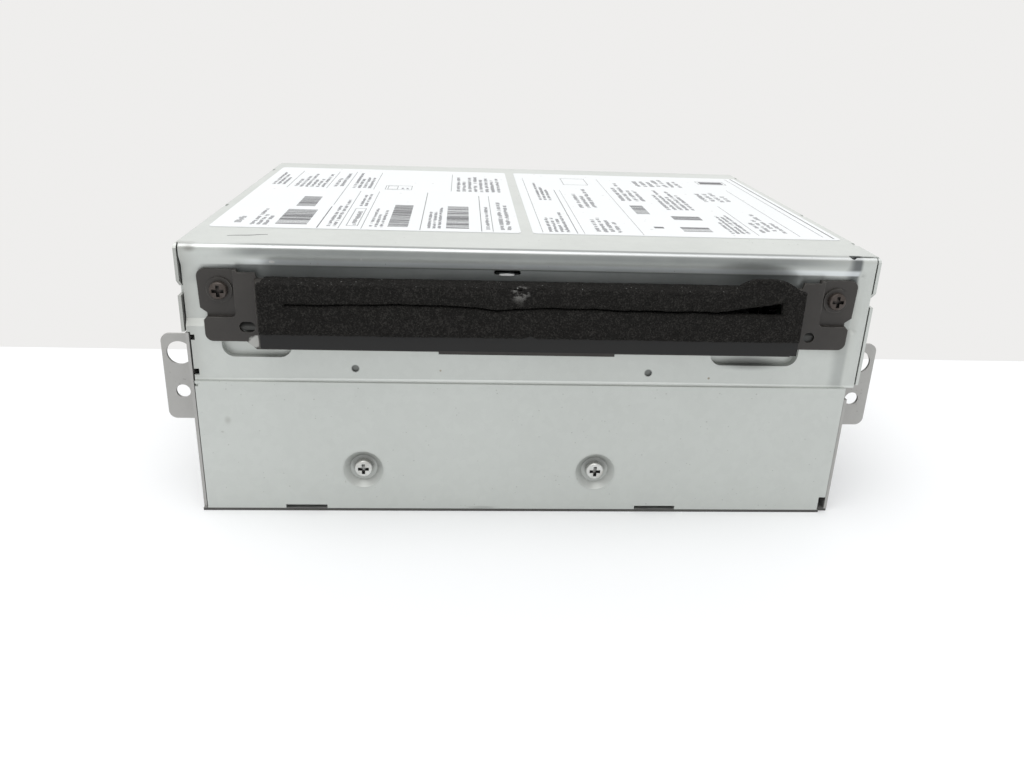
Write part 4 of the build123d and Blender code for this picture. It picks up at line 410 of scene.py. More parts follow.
@dataclass(frozen=True)
class CoatedSheet(Finish):
    """Dark coated sheet with a little dust and bare metal where its edges have worn."""

    bare: RGB = (0.22, 0.21, 0.19)
    dust: RGB = (0.085, 0.077, 0.068)
    black: RGB = (0.003, 0.003, 0.003)
    # The rubbed colour and its place make a pale corner: partly worn metal, partly a painted reflection of
    # the zinc panel beside it.
    rubbed: RGB = (0.40, 0.40, 0.38)
    rub_and_reflection_at: Point = (-71.6, -1.2, 49.9)
    wear: float = 0.35

    def make(self) -> Material:
        """Material of the coated sheet."""
        material, tree, shader, where = self.start()
        tree.put(shader, "Specular IOR Level", 0.38)
        smear = tree.group("Blotches", Vector=where, Scale=70.0, Spread=0.3)
        colour = tree.mix(tree.times(smear, 0.25), self.colour, self.dust)
        worn = tree.group("Worn Edges", Vector=where, Radius=0.0004, Amount=self.wear)
        colour = tree.mix(worn, colour, self.bare)
        speck = tree.group("Dirt Specks", Vector=where, Scale=900.0, Size=0.22, Share=0.3)
        colour = tree.mix(tree.times(speck, 0.35), colour, self.dust)
        y = tree.add("SeparateXYZ", Vector=where).outputs["Y"]
        # Painted shade: near black over the shroud's forward part, in front of the front plane, which
        # darkens the inside of its mouth.
        colour = tree.mix(tree.depth(y, (-4.6, -5.8), 0.0, 0.95), colour, self.black)
        # A pale corner at the shroud's lower left: partly worn metal, partly a painted reflection of the
        # zinc beside it.
        corner = self.corner(tree, where)
        tree.put(shader, "Base Color", tree.mix(corner, colour, self.rubbed))
        tree.put(shader, "Roughness", tree.ramp(worn, 0.0, 1.0, self.rough, self.rough - 0.1))
        tree.put(shader, "Metallic", tree.times(tree.math("MAXIMUM", worn, corner), 0.6))
        grain = tree.group("Fine Grain", Vector=where, Scale=1500.0, Coarse=0.4)
        self.bump(tree, shader, grain, 0.00003, 0.7)
        return material

    def corner(self, tree: Tree, where: Socket) -> Socket:
        """Mask of the pale corner at the shroud's lower left, with a ragged rim: partly bare worn metal,
        partly a painted reflection of the zinc panel beside it.
        """
        away = tree.vector("DISTANCE", where, at(*self.rub_and_reflection_at)).outputs["Value"]
        ragged = tree.add("TexNoise", Vector=where, Scale=900.0, Detail=2.0).outputs[0]
        return tree.fade(tree.math("ADD", away, tree.times(ragged, 1.6 * MM)), (2.7, 2.1))


@dataclass(frozen=True)
class OpenFoam(Finish):
    """Old open-cell foam: near black, with pits, wrinkles, fine grit and a rubbed patch over the slit."""

    grit: RGB = (0.11, 0.10, 0.09)
    rub: RGB = (0.20, 0.195, 0.185)
    dust: RGB = (0.24, 0.24, 0.23)
    rub_at: Point = (-4.0, -8.0, 66.4)

    def make(self) -> Material:
        """Material of the foam."""
        material, tree, shader, where = self.start()
        tree.put(shader, "Specular IOR Level", 0.12)
        pit = tree.add("TexVoronoi", {"feature": "SMOOTH_F1"}, Vector=where, Scale=1500.0, Smoothness=0.4)
        fine = tree.add("TexNoise", Vector=where, Scale=2300.0, Detail=2.0, Roughness=0.6)
        coarse = tree.add("TexNoise", Vector=where, Scale=620.0, Detail=2.0, Roughness=0.6)
        cells = tree.math("ADD", fine.outputs[0], tree.times(coarse.outputs[0], 0.35))
        colour = tree.mix(tree.ramp(cells, 0.62, 0.90), self.colour, self.shade(3.0))
        grit = tree.group("Dirt Specks", Vector=where, Scale=1500.0, Size=0.26, Share=0.3)
        colour = tree.mix(tree.times(grit, 0.35), colour, self.grit)
        colour = self.rubbed(tree, where, colour)
        tree.put(shader, "Base Color", colour)
        crease = tree.add("Mapping", Vector=where, Rotation=(0.0, 0.55, 0.0), Scale=(1.0, 1.0, 4.5))
        wrinkle = tree.add("TexNoise", Vector=crease.outputs[0], Scale=260.0, Detail=2.0).outputs[0]
        patch = tree.group("Blotches", Vector=where, Scale=28.0, Spread=0.2)
        height = tree.math("ADD", tree.times(pit.outputs["Distance"], 0.8), fine.outputs[0])
        height = tree.math("ADD", height, tree.times(wrinkle, patch, 1.6))
        self.bump(tree, shader, height, 0.0008, 1.0)
        return material

    def rubbed(self, tree: Tree, where: Socket, colour: Socket) -> Socket:
        """Colour with the small pale rub above the slit and the dust along the pad's top edge."""
        away = tree.vector("DISTANCE", where, at(*self.rub_at)).outputs["Value"]
        ragged = tree.add("TexNoise", Vector=where, Scale=620.0, Detail=3.0).outputs[0]
        patch = tree.times(tree.fade(away, (3.4, 0.6)), tree.ramp(ragged, 0.46, 0.60))
        colour = tree.mix(patch, colour, self.rub)
        top = tree.fade(tree.add("SeparateXYZ", Vector=where).outputs["Z"], (66.4, 67.3))
        grains = tree.group("Dirt Specks", Vector=where, Scale=800.0, Size=0.20, Share=0.8)
        return tree.mix(tree.times(top, grains), colour, self.dust)


@dataclass(frozen=True)
class BrightMetal(Finish):
    """Bare or plated metal with turning marks and light handling stains."""

    stain_and_shade: RGB = (0.25, 0.22, 0.18)
    stains: float = 0.25
    grime_and_shade: float = 0.0

    def make(self) -> Material:
        """Material of the metal; recesses such as a screw's cross are darkened by ambient occlusion: grime
        together with painted shade.
        """
        material, tree, shader, where = self.start()
        blot = tree.group("Blotches", Vector=where, Scale=420.0, Spread=0.16)
        colour = tree.mix(tree.times(blot, self.stains), self.colour, self.stain_and_shade)
        if self.grime_and_shade:
            # Ambient occlusion darkens recesses: grime together with painted shade.
            hollow = tree.add("AmbientOcclusion", {"samples": 6, "only_local": True}, Distance=0.0016)
            held = tree.ramp(hollow.outputs["AO"], 0.80, 0.45, 0.0, self.grime_and_shade)
            colour = tree.mix(held, colour, (0.02, 0.019, 0.018))
        tree.put(shader, "Base Color", colour)
        tree.put(shader, "Roughness", tree.ramp(blot, 0.0, 1.0, self.rough, self.rough + 0.15))
        grain = tree.group("Fine Grain", Vector=where, Scale=2600.0, Coarse=0.1)
        self.bump(tree, shader, grain, 0.00001, 0.5)
        return material


@dataclass(frozen=True)
class Moulded(Finish):
    """Moulded plastic or rubber with spark-eroded grain and rubbed edges."""

    edge: RGB = (0.2, 0.2, 0.2)
    wear: float = 0.2

    def make(self) -> Material:
        """Material of the moulding."""
        material, tree, shader, where = self.start()
        worn = tree.group("Worn Edges", Vector=where, Radius=0.0003, Amount=self.wear)
        blot = tree.group("Blotches", Vector=where, Scale=160.0, Spread=0.3)
        base = tree.mix(tree.times(blot, 0.5), self.colour, self.shade(0.8))
        tree.put(shader, "Base Color", tree.mix(worn, base, self.edge))
        grain = tree.group("Fine Grain", Vector=where, Scale=2200.0, Coarse=0.2)
        self.bump(tree, shader, grain, 0.00003, 0.7)
        return material


@dataclass(frozen=True)
class LabelFilm(Finish):
    """White label film, handled and faintly yellowed."""

    def make(self) -> Material:
        """Material of the film."""
        material, tree, shader, where = self.start()
        blot = tree.group("Blotches", Vector=where, Scale=26.0, Spread=0.3)
        base = tree.mix(tree.times(blot, 0.5), self.colour, self.shade(0.955))
        speck = tree.group("Dirt Specks", Vector=where, Scale=330.0, Size=0.2, Share=0.35)
        tree.put(shader, "Base Color", tree.mix(tree.times(speck, 0.5), base, (0.35, 0.33, 0.3)))
        grain = tree.group("Fine Grain", Vector=where, Scale=900.0, Coarse=1.2)
        self.bump(tree, shader, grain, 0.00002, 0.5)
        return material


@dataclass(frozen=True)
class CircuitBoard(Finish):
    """Green board with a plated grid of tracks under its mask."""

    track: RGB = (0.05, 0.26, 0.11)

    def make(self) -> Material:
        """Material of the board."""
        material, tree, shader, where = self.start()
        offsets = {"offset": 0.37, "squash": 0.6, "squash_frequency": 3}
        sizes = {"Mortar_Size": 0.16, "Mortar_Smooth": 0.0, "Row_Height": 0.22, "Brick_Width": 1.7}
        maze = tree.add("TexBrick", offsets, Vector=where, Scale=210.0, **sizes)
        tracks = tree.ramp(maze.outputs["Fac"], 0.4, 0.6)
        tree.put(shader, "Base Color", tree.mix(tracks, self.colour, self.track))
        self.bump(tree, shader, tracks, 0.00003, 0.6)
        return material


@dataclass(frozen=True)
class CoatedLens(Finish):
    """Clear lens with a bluish coat."""

    def make(self) -> Material:
        """Material of the lens."""
        material, tree, shader, where = self.start()
        tree.put(shader, "Transmission Weight", 0.85)
        tree.put(shader, "IOR", 1.5)
        tree.put(shader, "Coat Weight", 1.0)
        blot = tree.group("Blotches", Vector=where, Scale=900.0, Spread=0.3)
        tree.put(shader, "Base Color", tree.mix(blot, self.colour, self.shade(0.9)))
        return material


ZINC: RGB = (0.535, 0.555, 0.53)
FINISHES: tuple[Finish, ...] = (
    ZincSheet("galvanised_steel", ZINC, 0.42, 0.55),
    CoatedSheet("dark_steel", (0.030, 0.027, 0.0245), 0.5, 0.0),
    OpenFoam("foam", (0.0125, 0.0118, 0.0108), 0.95, 0.0),
    BrightMetal("zinc_screw", (0.66, 0.67, 0.65), 0.3, 0.8, stains=0.35, grime_and_shade=0.95),
    BrightMetal("dark_screw", (0.075, 0.062, 0.055), 0.4, 0.55, (0.04, 0.03, 0.024), 0.7, grime_and_shade=0.9),
    LabelFilm("label_paper", (0.80, 0.81, 0.81), 0.5, 0.0),
    BrightMetal("aluminium", (0.72, 0.73, 0.74), 0.38, 0.9, (0.5, 0.5, 0.5), 0.4),
    Moulded("black_plastic", (0.018, 0.018, 0.02), 0.42, 0.0),
    Moulded("bus_plastic", (0.045, 0.10, 0.24), 0.42, 0.0, (0.3, 0.4, 0.55)),
    Moulded("beige_plastic", (0.62, 0.53, 0.36), 0.45, 0.0, (0.75, 0.7, 0.6)),
    BrightMetal("contact_tin", (0.78, 0.68, 0.42), 0.3, 0.95, (0.45, 0.32, 0.14), 0.4),
    CircuitBoard("board", (0.016, 0.13, 0.045), 0.32, 0.0),
    Moulded("chip_black", (0.014, 0.014, 0.015), 0.55, 0.0),
    Moulded("capacitor_sleeve", (0.015, 0.016, 0.03), 0.25, 0.0),
    BrightMetal("tinplate", (0.66, 0.66, 0.64), 0.3, 0.9, (0.4, 0.38, 0.34), 0.5),
    Moulded("cable_film", (0.8, 0.81, 0.82), 0.35, 0.0, (0.9, 0.9, 0.9)),
    Moulded("rubber", (0.02, 0.02, 0.02), 0.75, 0.0, (0.06, 0.06, 0.06)),
    BrightMetal("spring_steel", (0.5, 0.5, 0.49), 0.3, 0.95),
    Moulded("natural_acetal", (0.80, 0.78, 0.70), 0.4, 0.0, (0.9, 0.88, 0.82)),
    BrightMetal("brass", (0.78, 0.58, 0.26), 0.26, 0.95, (0.4, 0.27, 0.1), 0.35),
    BrightMetal("ground_steel", (0.6, 0.61, 0.62), 0.16, 1.0, (0.4, 0.38, 0.35), 0.25),
    CoatedLens("lens", (0.72, 0.75, 0.95), 0.04, 0.0),
    BrightMetal("sled_metal", (0.42, 0.42, 0.43), 0.45, 0.8, (0.25, 0.25, 0.25), 0.5),
)
PIP_PLACES = ((-46.4, 42.5), (31.8, 42.3))
DIMPLE_PLACES = ((-45.1, 13.0), (19.3, 12.7))
# Painted shade in the hollows of the two pips: darker dots.
PIP_SHADE = tuple(Spot(x, z, 1.25, 0.8, (0.09, 0.095, 0.09)) for x, z in PIP_PLACES)
# Marks on the cover, with painted light and shade at the places noted below.
MARKS_AND_PAINTED_LIGHT = (
    Spot(-66.4, 70.7, 0.85, 0.95, (0.93, 0.93, 0.9), 1.9, 0.2),
    Spot(-55.0, 70.4, 0.35, 0.7, (0.7, 0.7, 0.68), 1.0, 0.3),
    Spot(-44.0, 71.9, 0.3, 0.6, (0.7, 0.7, 0.68), 1.0, 0.3),
    # Painted highlight: a bright white line in the small slot above the foam.
    Spot(-7.1, 68.45, 2.1, 0.95, (0.98, 0.98, 0.96), 6.0, 0.1),
    Spot(-86.4, 74.0, 2.2, 0.55, (0.14, 0.135, 0.12), 1.6, 0.9),
    # Painted shade behind the flange's two oval holes: near black on the cover.
    Spot(-73.4, 53.8, 2.9, 0.92, (0.012, 0.011, 0.01), 1.3, 0.1),
    Spot(73.9, 53.3, 2.3, 0.92, (0.012, 0.011, 0.01), 1.0, 0.1),
    # Painted shade along the cover's left end, beside the flange's left ear.
    Spot(-92.5, 58.0, 9.5, 0.46, (0.22, 0.21, 0.19), 0.12, 0.9),
    # Painted shadow of the shroud's underside over the pocket below it.
    Spot(59.0, 45.4, 11.5, 0.6, (0.09, 0.09, 0.085), 5.0, 0.8),
    # Painted highlight: a pale band along the fold just above the seam with the lower panel.
    Spot(0.0, 39.1, 110.0, 0.75, (0.80, 0.82, 0.79), 150.0, 0.4),
    Spot(-24.0, 42.2, 0.35, 0.6, (0.25, 0.2, 0.12), 1.0, 0.4),
    Spot(48.5, 41.0, 0.4, 0.7, (0.2, 0.16, 0.1), 1.0, 0.4),
)
# Painted shade in the two screw dimples: a grey ring, darker in its upper part.
DIMPLE_SHADE = tuple(
    spot
    for x, z in DIMPLE_PLACES
    for spot in (
        Spot(x, z, 6.4, 0.30, (0.17, 0.17, 0.16), 1.0, 0.3),
        Spot(x, z + 1.5, 4.0, 0.5, (0.07, 0.07, 0.065), 1.15, 0.4),
    )
)
SCUFFS = (
    Spot(-80.6, 27.6, 1.3, 0.3, (0.2, 0.19, 0.17), 0.8, 0.9),
    Spot(-82.3, 24.1, 0.6, 0.35, (0.2, 0.19, 0.17), 1.8, 0.8),
    Spot(-12.2, 1.2, 5.5, 0.35, (0.2, 0.2, 0.19), 9.0, 0.7),
)
SHEETS: dict[str, Finish] = {
    "top_cover": ZincSheet(
        "galvanised_cover", ZINC, 0.38, 0.55, stain_and_shade=ShadeBand(), raw_and_shaded_beyond=91.2, spots=PIP_SHADE + MARKS_AND_PAINTED_LIGHT
    ),
    "lower_front_panel": ZincSheet("galvanised_panel", ZINC, 0.42, 0.5, specks=0.3, spots=DIMPLE_SHADE + SCUFFS),
    # The side and base plates take darker copies of the zinc: painted shade; the base plate's front edge is
    # darkened further as painted shadow under it.
    "side_plate_left": ZincSheet("galvanised_side_shaded", (0.40, 0.395, 0.38), 0.42, 0.5, specks=0.3),
    "base_plate": ZincSheet("galvanised_base_shaded", (0.40, 0.40, 0.385), 0.42, 0.5, specks=0.3, raw_and_shaded_beyond=0.0),
}
DARK_INSIDE = {"roller_gear": "black_plastic", "roller_arm": "dark_steel"}


# Mesh making


def mesh_object(name: str, points: np.ndarray, faces: list[list[int]], smooth: bool = True) -> Object:
    """Object at the origin from arrays.

    Args:
        name: object name.
        points: (n, 3) places in metres.
        faces: rows of point numbers.
        smooth: whether faces shade smoothly.
    Returns:
        The linked object.
    """
    mesh = bpy.data.meshes.new(name)
    mesh.from_pydata(points.tolist(), [], faces)
    mesh.polygons.foreach_set("use_smooth", np.full(len(mesh.polygons), smooth))
    mesh.update()
    obj = bpy.data.objects.new(name, mesh)
    bpy.context.scene.collection.objects.link(obj)
    return obj


def ring_faces(rows: int, columns: int, first: int = 0) -> list[list[int]]:
    """Quads of rings joined in a row and closed at both ends, whose points start at first."""
    i, j = np.meshgrid(np.arange(rows - 1), np.arange(columns), indexing="ij")
    low, high = i * columns, (i + 1) * columns
    j2 = (j + 1) % columns
    quads = np.stack([low + j, low + j2, high + j2, high + j], axis=-1).reshape(-1, 4) + first
    last = first + (rows - 1) * columns
    caps = [list(range(first + columns - 1, first - 1, -1)), list(range(last, last + columns))]
    return quads.tolist() + caps


def torus_faces(rows: int, columns: int) -> list[list[int]]:
    """Quads of a grid that closes on itself both ways."""
    i, j = np.meshgrid(np.arange(rows), np.arange(columns), indexing="ij")
    low, high = i * columns, (i + 1) % rows * columns
    j2 = (j + 1) % columns
    return np.stack([low + j2, high + j2, high + j, low + j], axis=-1).reshape(-1, 4).tolist()


def plates(name: str, rects: np.ndarray, low: float, high: float) -> Object:
    """Many closed flat boxes as one mesh.

    Args:
        name: object name.
        rects: (n, 4) x0, y0, x1, y1 in millimetres from the front plane.
        low: height of the undersides, in millimetres.
        high: height of the tops.
    Returns:
        The object; each box is the eight corners of its rectangle at low and at high.
    """
    x = rects[:, [0, 2, 2, 0, 0, 2, 2, 0]]
    y = rects[:, [1, 1, 3, 3, 1, 1, 3, 3]]
    z = np.tile([low] * 4 + [high] * 4, (len(rects), 1))
    one = np.array([[3, 2, 1, 0], [4, 5, 6, 7], [0, 1, 5, 4], [1, 2, 6, 5], [2, 3, 7, 6], [3, 0, 4, 7]])
    faces = (np.arange(len(rects))[:, None, None] * 8 + one).reshape(-1, 4).tolist()
    points = placed(np.stack([x, y, z], axis=-1).reshape(-1, 3))
    return mesh_object(name, points, faces, smooth=False)


def bell(x: np.ndarray, middle: float, reach: float, power: int = 2) -> np.ndarray:
    """Bump of height 1 at the middle, with that reach and a flatter top as the power rises."""
    return np.exp(-((x - middle) / reach) ** power)


def value_noise(points: np.ndarray, size: float, seed: int) -> np.ndarray:
    """Smooth noise from -1 to 1: random numbers on a lattice of that size, smoothly blended."""
    grid = points / size
    base = np.floor(grid).astype(np.int64)
    part = grid - base
    weight = part * part * (3 - 2 * part)
    total = np.zeros(len(points))
    for corner in range(8):
        step = np.array([corner & 1, corner >> 1 & 1, corner >> 2 & 1])
        x, y, z = (base + step).T
        key = (x * 73856093) ^ (y * 19349663) ^ (z * 83492791) ^ (seed * 2654435761)
        key = (key ^ (key >> 13)) * 1274126177 & 0xFFFFFFFF
        lot = (key ^ (key >> 16)) % 65536 / 32767.5 - 1
        share = np.prod(np.where(step == 1, weight, 1 - weight), axis=1)
        total += share * lot
    return total


def dress(node: Object, material: Material) -> None:
    """Puts one material on a CAD node and shades its rounded faces smoothly, its vertices unchanged."""
    node.data.materials.clear()
    node.data.materials.append(material)
    node.data.polygons.foreach_set("use_smooth", np.ones(len(node.data.polygons), bool))
    weld = node.modifiers.new("Weld", "WELD")
    weld.merge_threshold = WELD_REACH
    split = node.modifiers.new("Sharp edges", "EDGE_SPLIT")
    split.split_angle = math.radians(SHARP_DEGREES)


def attach(piece: Object, body: str, material: Material) -> Object:
    """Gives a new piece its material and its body."""
    piece.data.materials.clear()
    piece.data.materials.append(material)
    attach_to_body(piece, body)
    LOG.info("%s rides on %s", piece.name, body)
    return piece


# Sub-assemblies


@dataclass
class Foam:
    """The foam pad on the slot flange: one pad, slit for the disc, lifted at its right end. Millimetres."""

    front: float = -8.0
    back: float = -6.0
    left: float = -69.1
    right: float = 68.9
    low: float = 54.0
    top: float = 67.3
    fold_low: float = 66.6
    fold_y: float = -3.65
    fold_reach: float = 3.3
    fold_thick: float = 0.38
    fold_sides: int = 24
    slit: float = 61.8
    slit_left: float = -62.5
    slit_right: float = 63.2
    gap: float = 0.13
    wedge_left: float = 46.5
    wedge: float = 2.76
    bulge: float = 3.3
    along: int = 720
    face: int = 19

    def outer(self, u: np.ndarray) -> tuple[np.ndarray, np.ndarray]:
        """Outer edge: a rounded rectangle whose top swells near its right end by a smooth hump."""
        x, z = self.loop(u, self.left, self.right, self.low, self.top)
        on_top = np.clip((z - self.top + 2.5) / 2.5, 0, 1)
        hump = self.bulge * bell(x, 58.6, 7.6, 4)
        wave = 0.12 * np.sin(x * 0.33) + 0.08 * np.sin(x * 0.91 + 1)
        nick = 0.7 * bell(x, -1.0, 1.1) * (z < self.low + 1.5)
        dent = 0.7 * bell(x, -4.5, 2.2) + 0.35 * bell(x, 1.5, 1.3)
        return x, z + on_top * (hump - np.abs(wave) * 0.7 - dent) + nick

    def inner(self, u: np.ndarray) -> tuple[np.ndarray, np.ndarray]:
        """Slit's edge: a thin wavy loop that opens into a wedge towards the right."""
        x, z = self.loop(u, self.slit_left, self.slit_right, self.slit - self.gap, self.slit + self.gap)
        along = np.clip((x - self.wedge_left) / (self.slit_right - self.wedge_left), 0, 1)
        wedge = self.wedge * along ** 1.2
        line = 0.55 * bell(x, -32.0, 17.0) - 0.75 * bell(x, -9.5, 3.6) + 0.35 * bell(x, 8.0, 9.0)
        line += 0.08 * np.sin(x * 0.5)
        fade = np.clip((self.slit_right - x) / 3.0, 0, 1) * np.clip((x - self.slit_left) / 6.0, 0, 1)
        sag = -0.3 * np.clip((x - 5) / 50.0, 0, 1)
        return x, z + line * fade + np.where(z > self.slit, wedge, sag)

    @staticmethod
    def loop(u: np.ndarray, x0: float, x1: float, z0: float, z1: float) -> tuple[np.ndarray, np.ndarray]:
        """Rectangle walked once as u goes 0 to 1: bottom, right side, top, left side."""
        side = 0.03
        s = np.array([0, 0.5 - side, 0.5, 1.0 - side, 1.0])
        return np.interp(u, s, [x0, x1, x1, x0, x0]), np.interp(u, s, [z0, z0, z1, z1, z0])

    def surface(self) -> np.ndarray:
        """Points S(u, v): u goes round the slit, v from the slit over the crowned face to the back."""
        u = np.arange(self.along) / self.along
        ox, oz = self.outer(u)
        ix, iz = self.inner(u)
        t = np.concatenate([
            [0.0, 0.01, 0.05, 0.11],
            np.linspace(0.18, 0.94, self.face),
            [0.98, 1.0, 1.0, 1.0, 0.5, 0.0],
        ])
        share = np.concatenate([
            [0.30, 0.62, 0.83, 0.95],
            np.ones(self.face),
            [0.93, 0.72, 0.35, 0.0, 0.0, 0.0],
        ])
        x = ix[:, None] + (ox - ix)[:, None] * t
        z = iz[:, None] + (oz - iz)[:, None] * t
        crown = 1 - 0.16 * np.abs(2 * t - 1) ** 3
        y = self.back - (self.back - self.front) * share * np.where(share > 0.9, crown, 1.0)
        return np.stack([x, np.broadcast_to(y, x.shape), z], axis=-1)

    def fold(self) -> np.ndarray:
        """Rings of the strip that lies back on the shroud: rounded rectangles, drawn in at both ends."""
        x = np.linspace(self.left + 0.6, self.right - 0.6, self.along // 2)[:, None]
        turn = np.arange(self.fold_sides) / self.fold_sides * 2 * np.pi
        ring_y = np.sign(np.cos(turn)) * np.abs(np.cos(turn)) ** 0.35
        ring_z = np.sign(np.sin(turn)) * np.abs(np.sin(turn)) ** 0.35
        ends = np.clip(np.minimum(x - x[0], x[-1] - x) / 0.5, 0.05, 1) ** 0.5
        y = self.fold_y + self.fold_reach * ring_y * ends
        z = (self.fold_low + self.top) / 2 + self.fold_thick * ring_z * ends
        points = np.stack([np.broadcast_to(x, y.shape), y, z], axis=-1)
        rough = 0.05 * value_noise(points.reshape(-1, 3), 1.2, 31).reshape(y.shape)
        points[..., 2] += rough * (ring_z > 0.2)
        return points

    def build(self, material: Material) -> None:
        """Makes the pad with its coarse skin and puts it in the foam node's place."""
        grid = self.surface()
        rows, columns = grid.shape[:2]
        flat = grid.reshape(-1, 3)
        skin = np.clip((self.back - flat[:, 1] - 0.4) / 1.0, 0, 1)
        rough = 0.13 * value_noise(flat, 1.1, 3) + 0.09 * value_noise(flat, 0.55, 5)
        rough += 0.10 * value_noise(flat, 6.0, 9)
        flat[:, 1] += skin * (rough + 0.10)
        flat[:, 2] += skin * 0.10 * value_noise(flat, 0.9, 21)
        flat[:, 1] = np.maximum(flat[:, 1], self.front - 0.05)
        strip = self.fold()
        faces = torus_faces(rows, columns) + ring_faces(*strip.shape[:2], first=len(flat))
        pad = mesh_object("foam_pad", placed(np.concatenate([flat, strip.reshape(-1, 3)])), faces)
        attach(pad, "housing", material)
        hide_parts("foam_seal")


class Mark(Enum):
    """Kinds of generic print on a label."""

    LINES = "lines of grey bars that stand for words"
    STRIPES = "stripes of mixed width"
    FRAME = "ruled frame"
    RULE = "single rule"
    PATCH = "solid patch"


@dataclass(frozen=True)
class Block:
    """One block of print: its kind, its rectangle in millimetres and how many rows it holds."""

    mark: Mark
    x0: float
    y0: float
    x1: float
    y1: float
    rows: int = 1


def blocks(mark: Mark, *places: tuple[float, ...]) -> tuple[Block, ...]:
    """Blocks of one kind, each from its rectangle and, for lines, its count of rows."""
    return tuple(Block(mark, *place) for place in places)


# The left label: columns of rows between rules, with stripe fields in front
LEFT_LABEL = (
    blocks(Mark.LINES,
        (-82.6, 25.0, -79.6, 44.0, 1), (-77.4, 24.0, -72.2, 47.0, 3), (-56.6, 24.0, -53.4, 66.0, 2),
        (-50.3, 26.2, -48.1, 48.8, 1), (-50.8, 54.0, -47.8, 76.0, 2), (-45.0, 24.0, -40.6, 52.0, 3),
        (-29.0, 24.0, -24.6, 60.0, 3), (-12.6, 24.0, -10.9, 72.0, 1), (-8.8, 24.0, -4.8, 74.0, 2),
        (-84.4, 90.0, -79.4, 118.0, 3), (-76.4, 86.0, -65.6, 116.0, 6), (-63.4, 88.0, -59.4, 118.0, 2),
        (-56.8, 86.0, -49.8, 119.0, 4), (-40.0, 86.0, -37.0, 91.0, 2), (-21.4, 84.0, -5.6, 118.0, 8),
    )
    + blocks(Mark.STRIPES,
        (-70.2, 25.5, -61.6, 47.5), (-69.0, 52.0, -63.4, 68.0), (-39.4, 25.0, -33.8, 57.0),
        (-23.2, 24.5, -16.8, 57.0),
    )
    + blocks(Mark.RULE,
        (-58.4, 21.5, -58.1, 52.0), (-58.2, 55.0, -58.05, 121.0), (-52.6, 21.5, -52.45, 80.0),
        (-46.4, 21.5, -46.25, 80.0), (-30.4, 21.5, -30.2, 80.0), (-13.4, 21.5, -13.2, 76.0),
        (-10.2, 21.5, -10.05, 76.0), (-77.8, 84.0, -77.65, 120.0), (-64.6, 84.0, -64.45, 120.0),
        (-48.8, 84.0, -48.65, 120.0), (-22.6, 84.0, -22.45, 120.0),
    )
    + blocks(Mark.FRAME,
        (-50.8, 25.0, -47.6, 50.0), (-45.0, 84.5, -36.0, 92.5), (-44.2, 85.4, -40.8, 91.6),
    )
)


# The right label: long rows in columns, small stripe fields and a dark edge rule
RIGHT_LABEL = (
    blocks(Mark.LINES,
        (5.0, 23.0, 11.4, 52.0, 4), (6.0, 72.0, 10.8, 108.0, 3), (18.4, 24.0, 26.4, 45.0, 4),
        (17.8, 60.0, 24.4, 96.0, 3), (33.6, 74.0, 42.6, 112.0, 4), (46.0, 60.0, 56.0, 98.0, 5),
        (57.4, 26.0, 63.6, 58.0, 4), (66.6, 28.0, 75.0, 56.0, 4), (62.0, 76.0, 72.6, 96.0, 4),
        (44.0, 104.0, 62.0, 122.0, 7),
    )
    + blocks(Mark.STRIPES,
        (35.4, 52.0, 39.6, 66.0), (44.6, 27.5, 53.0, 33.5), (45.4, 44.0, 54.2, 49.5),
    )
    + blocks(Mark.RULE,
        (3.6, 22.0, 3.72, 116.0), (13.2, 21.5, 13.4, 92.0), (15.2, 21.5, 15.3, 92.0),
        (31.8, 21.5, 31.9, 118.0), (65.2, 24.0, 65.32, 68.0), (77.0, 24.0, 77.12, 100.0),
        (83.6, 24.0, 83.75, 126.0), (85.9, 22.0, 86.3, 127.0),
    )
    + blocks(Mark.FRAME,
        (18.0, 104.0, 27.0, 118.0), (70.0, 112.0, 80.6, 119.0),
    )
    + blocks(Mark.PATCH,
        (36.8, 31.0, 39.6, 33.0), (70.9, 113.2, 79.7, 117.8),
    )
)


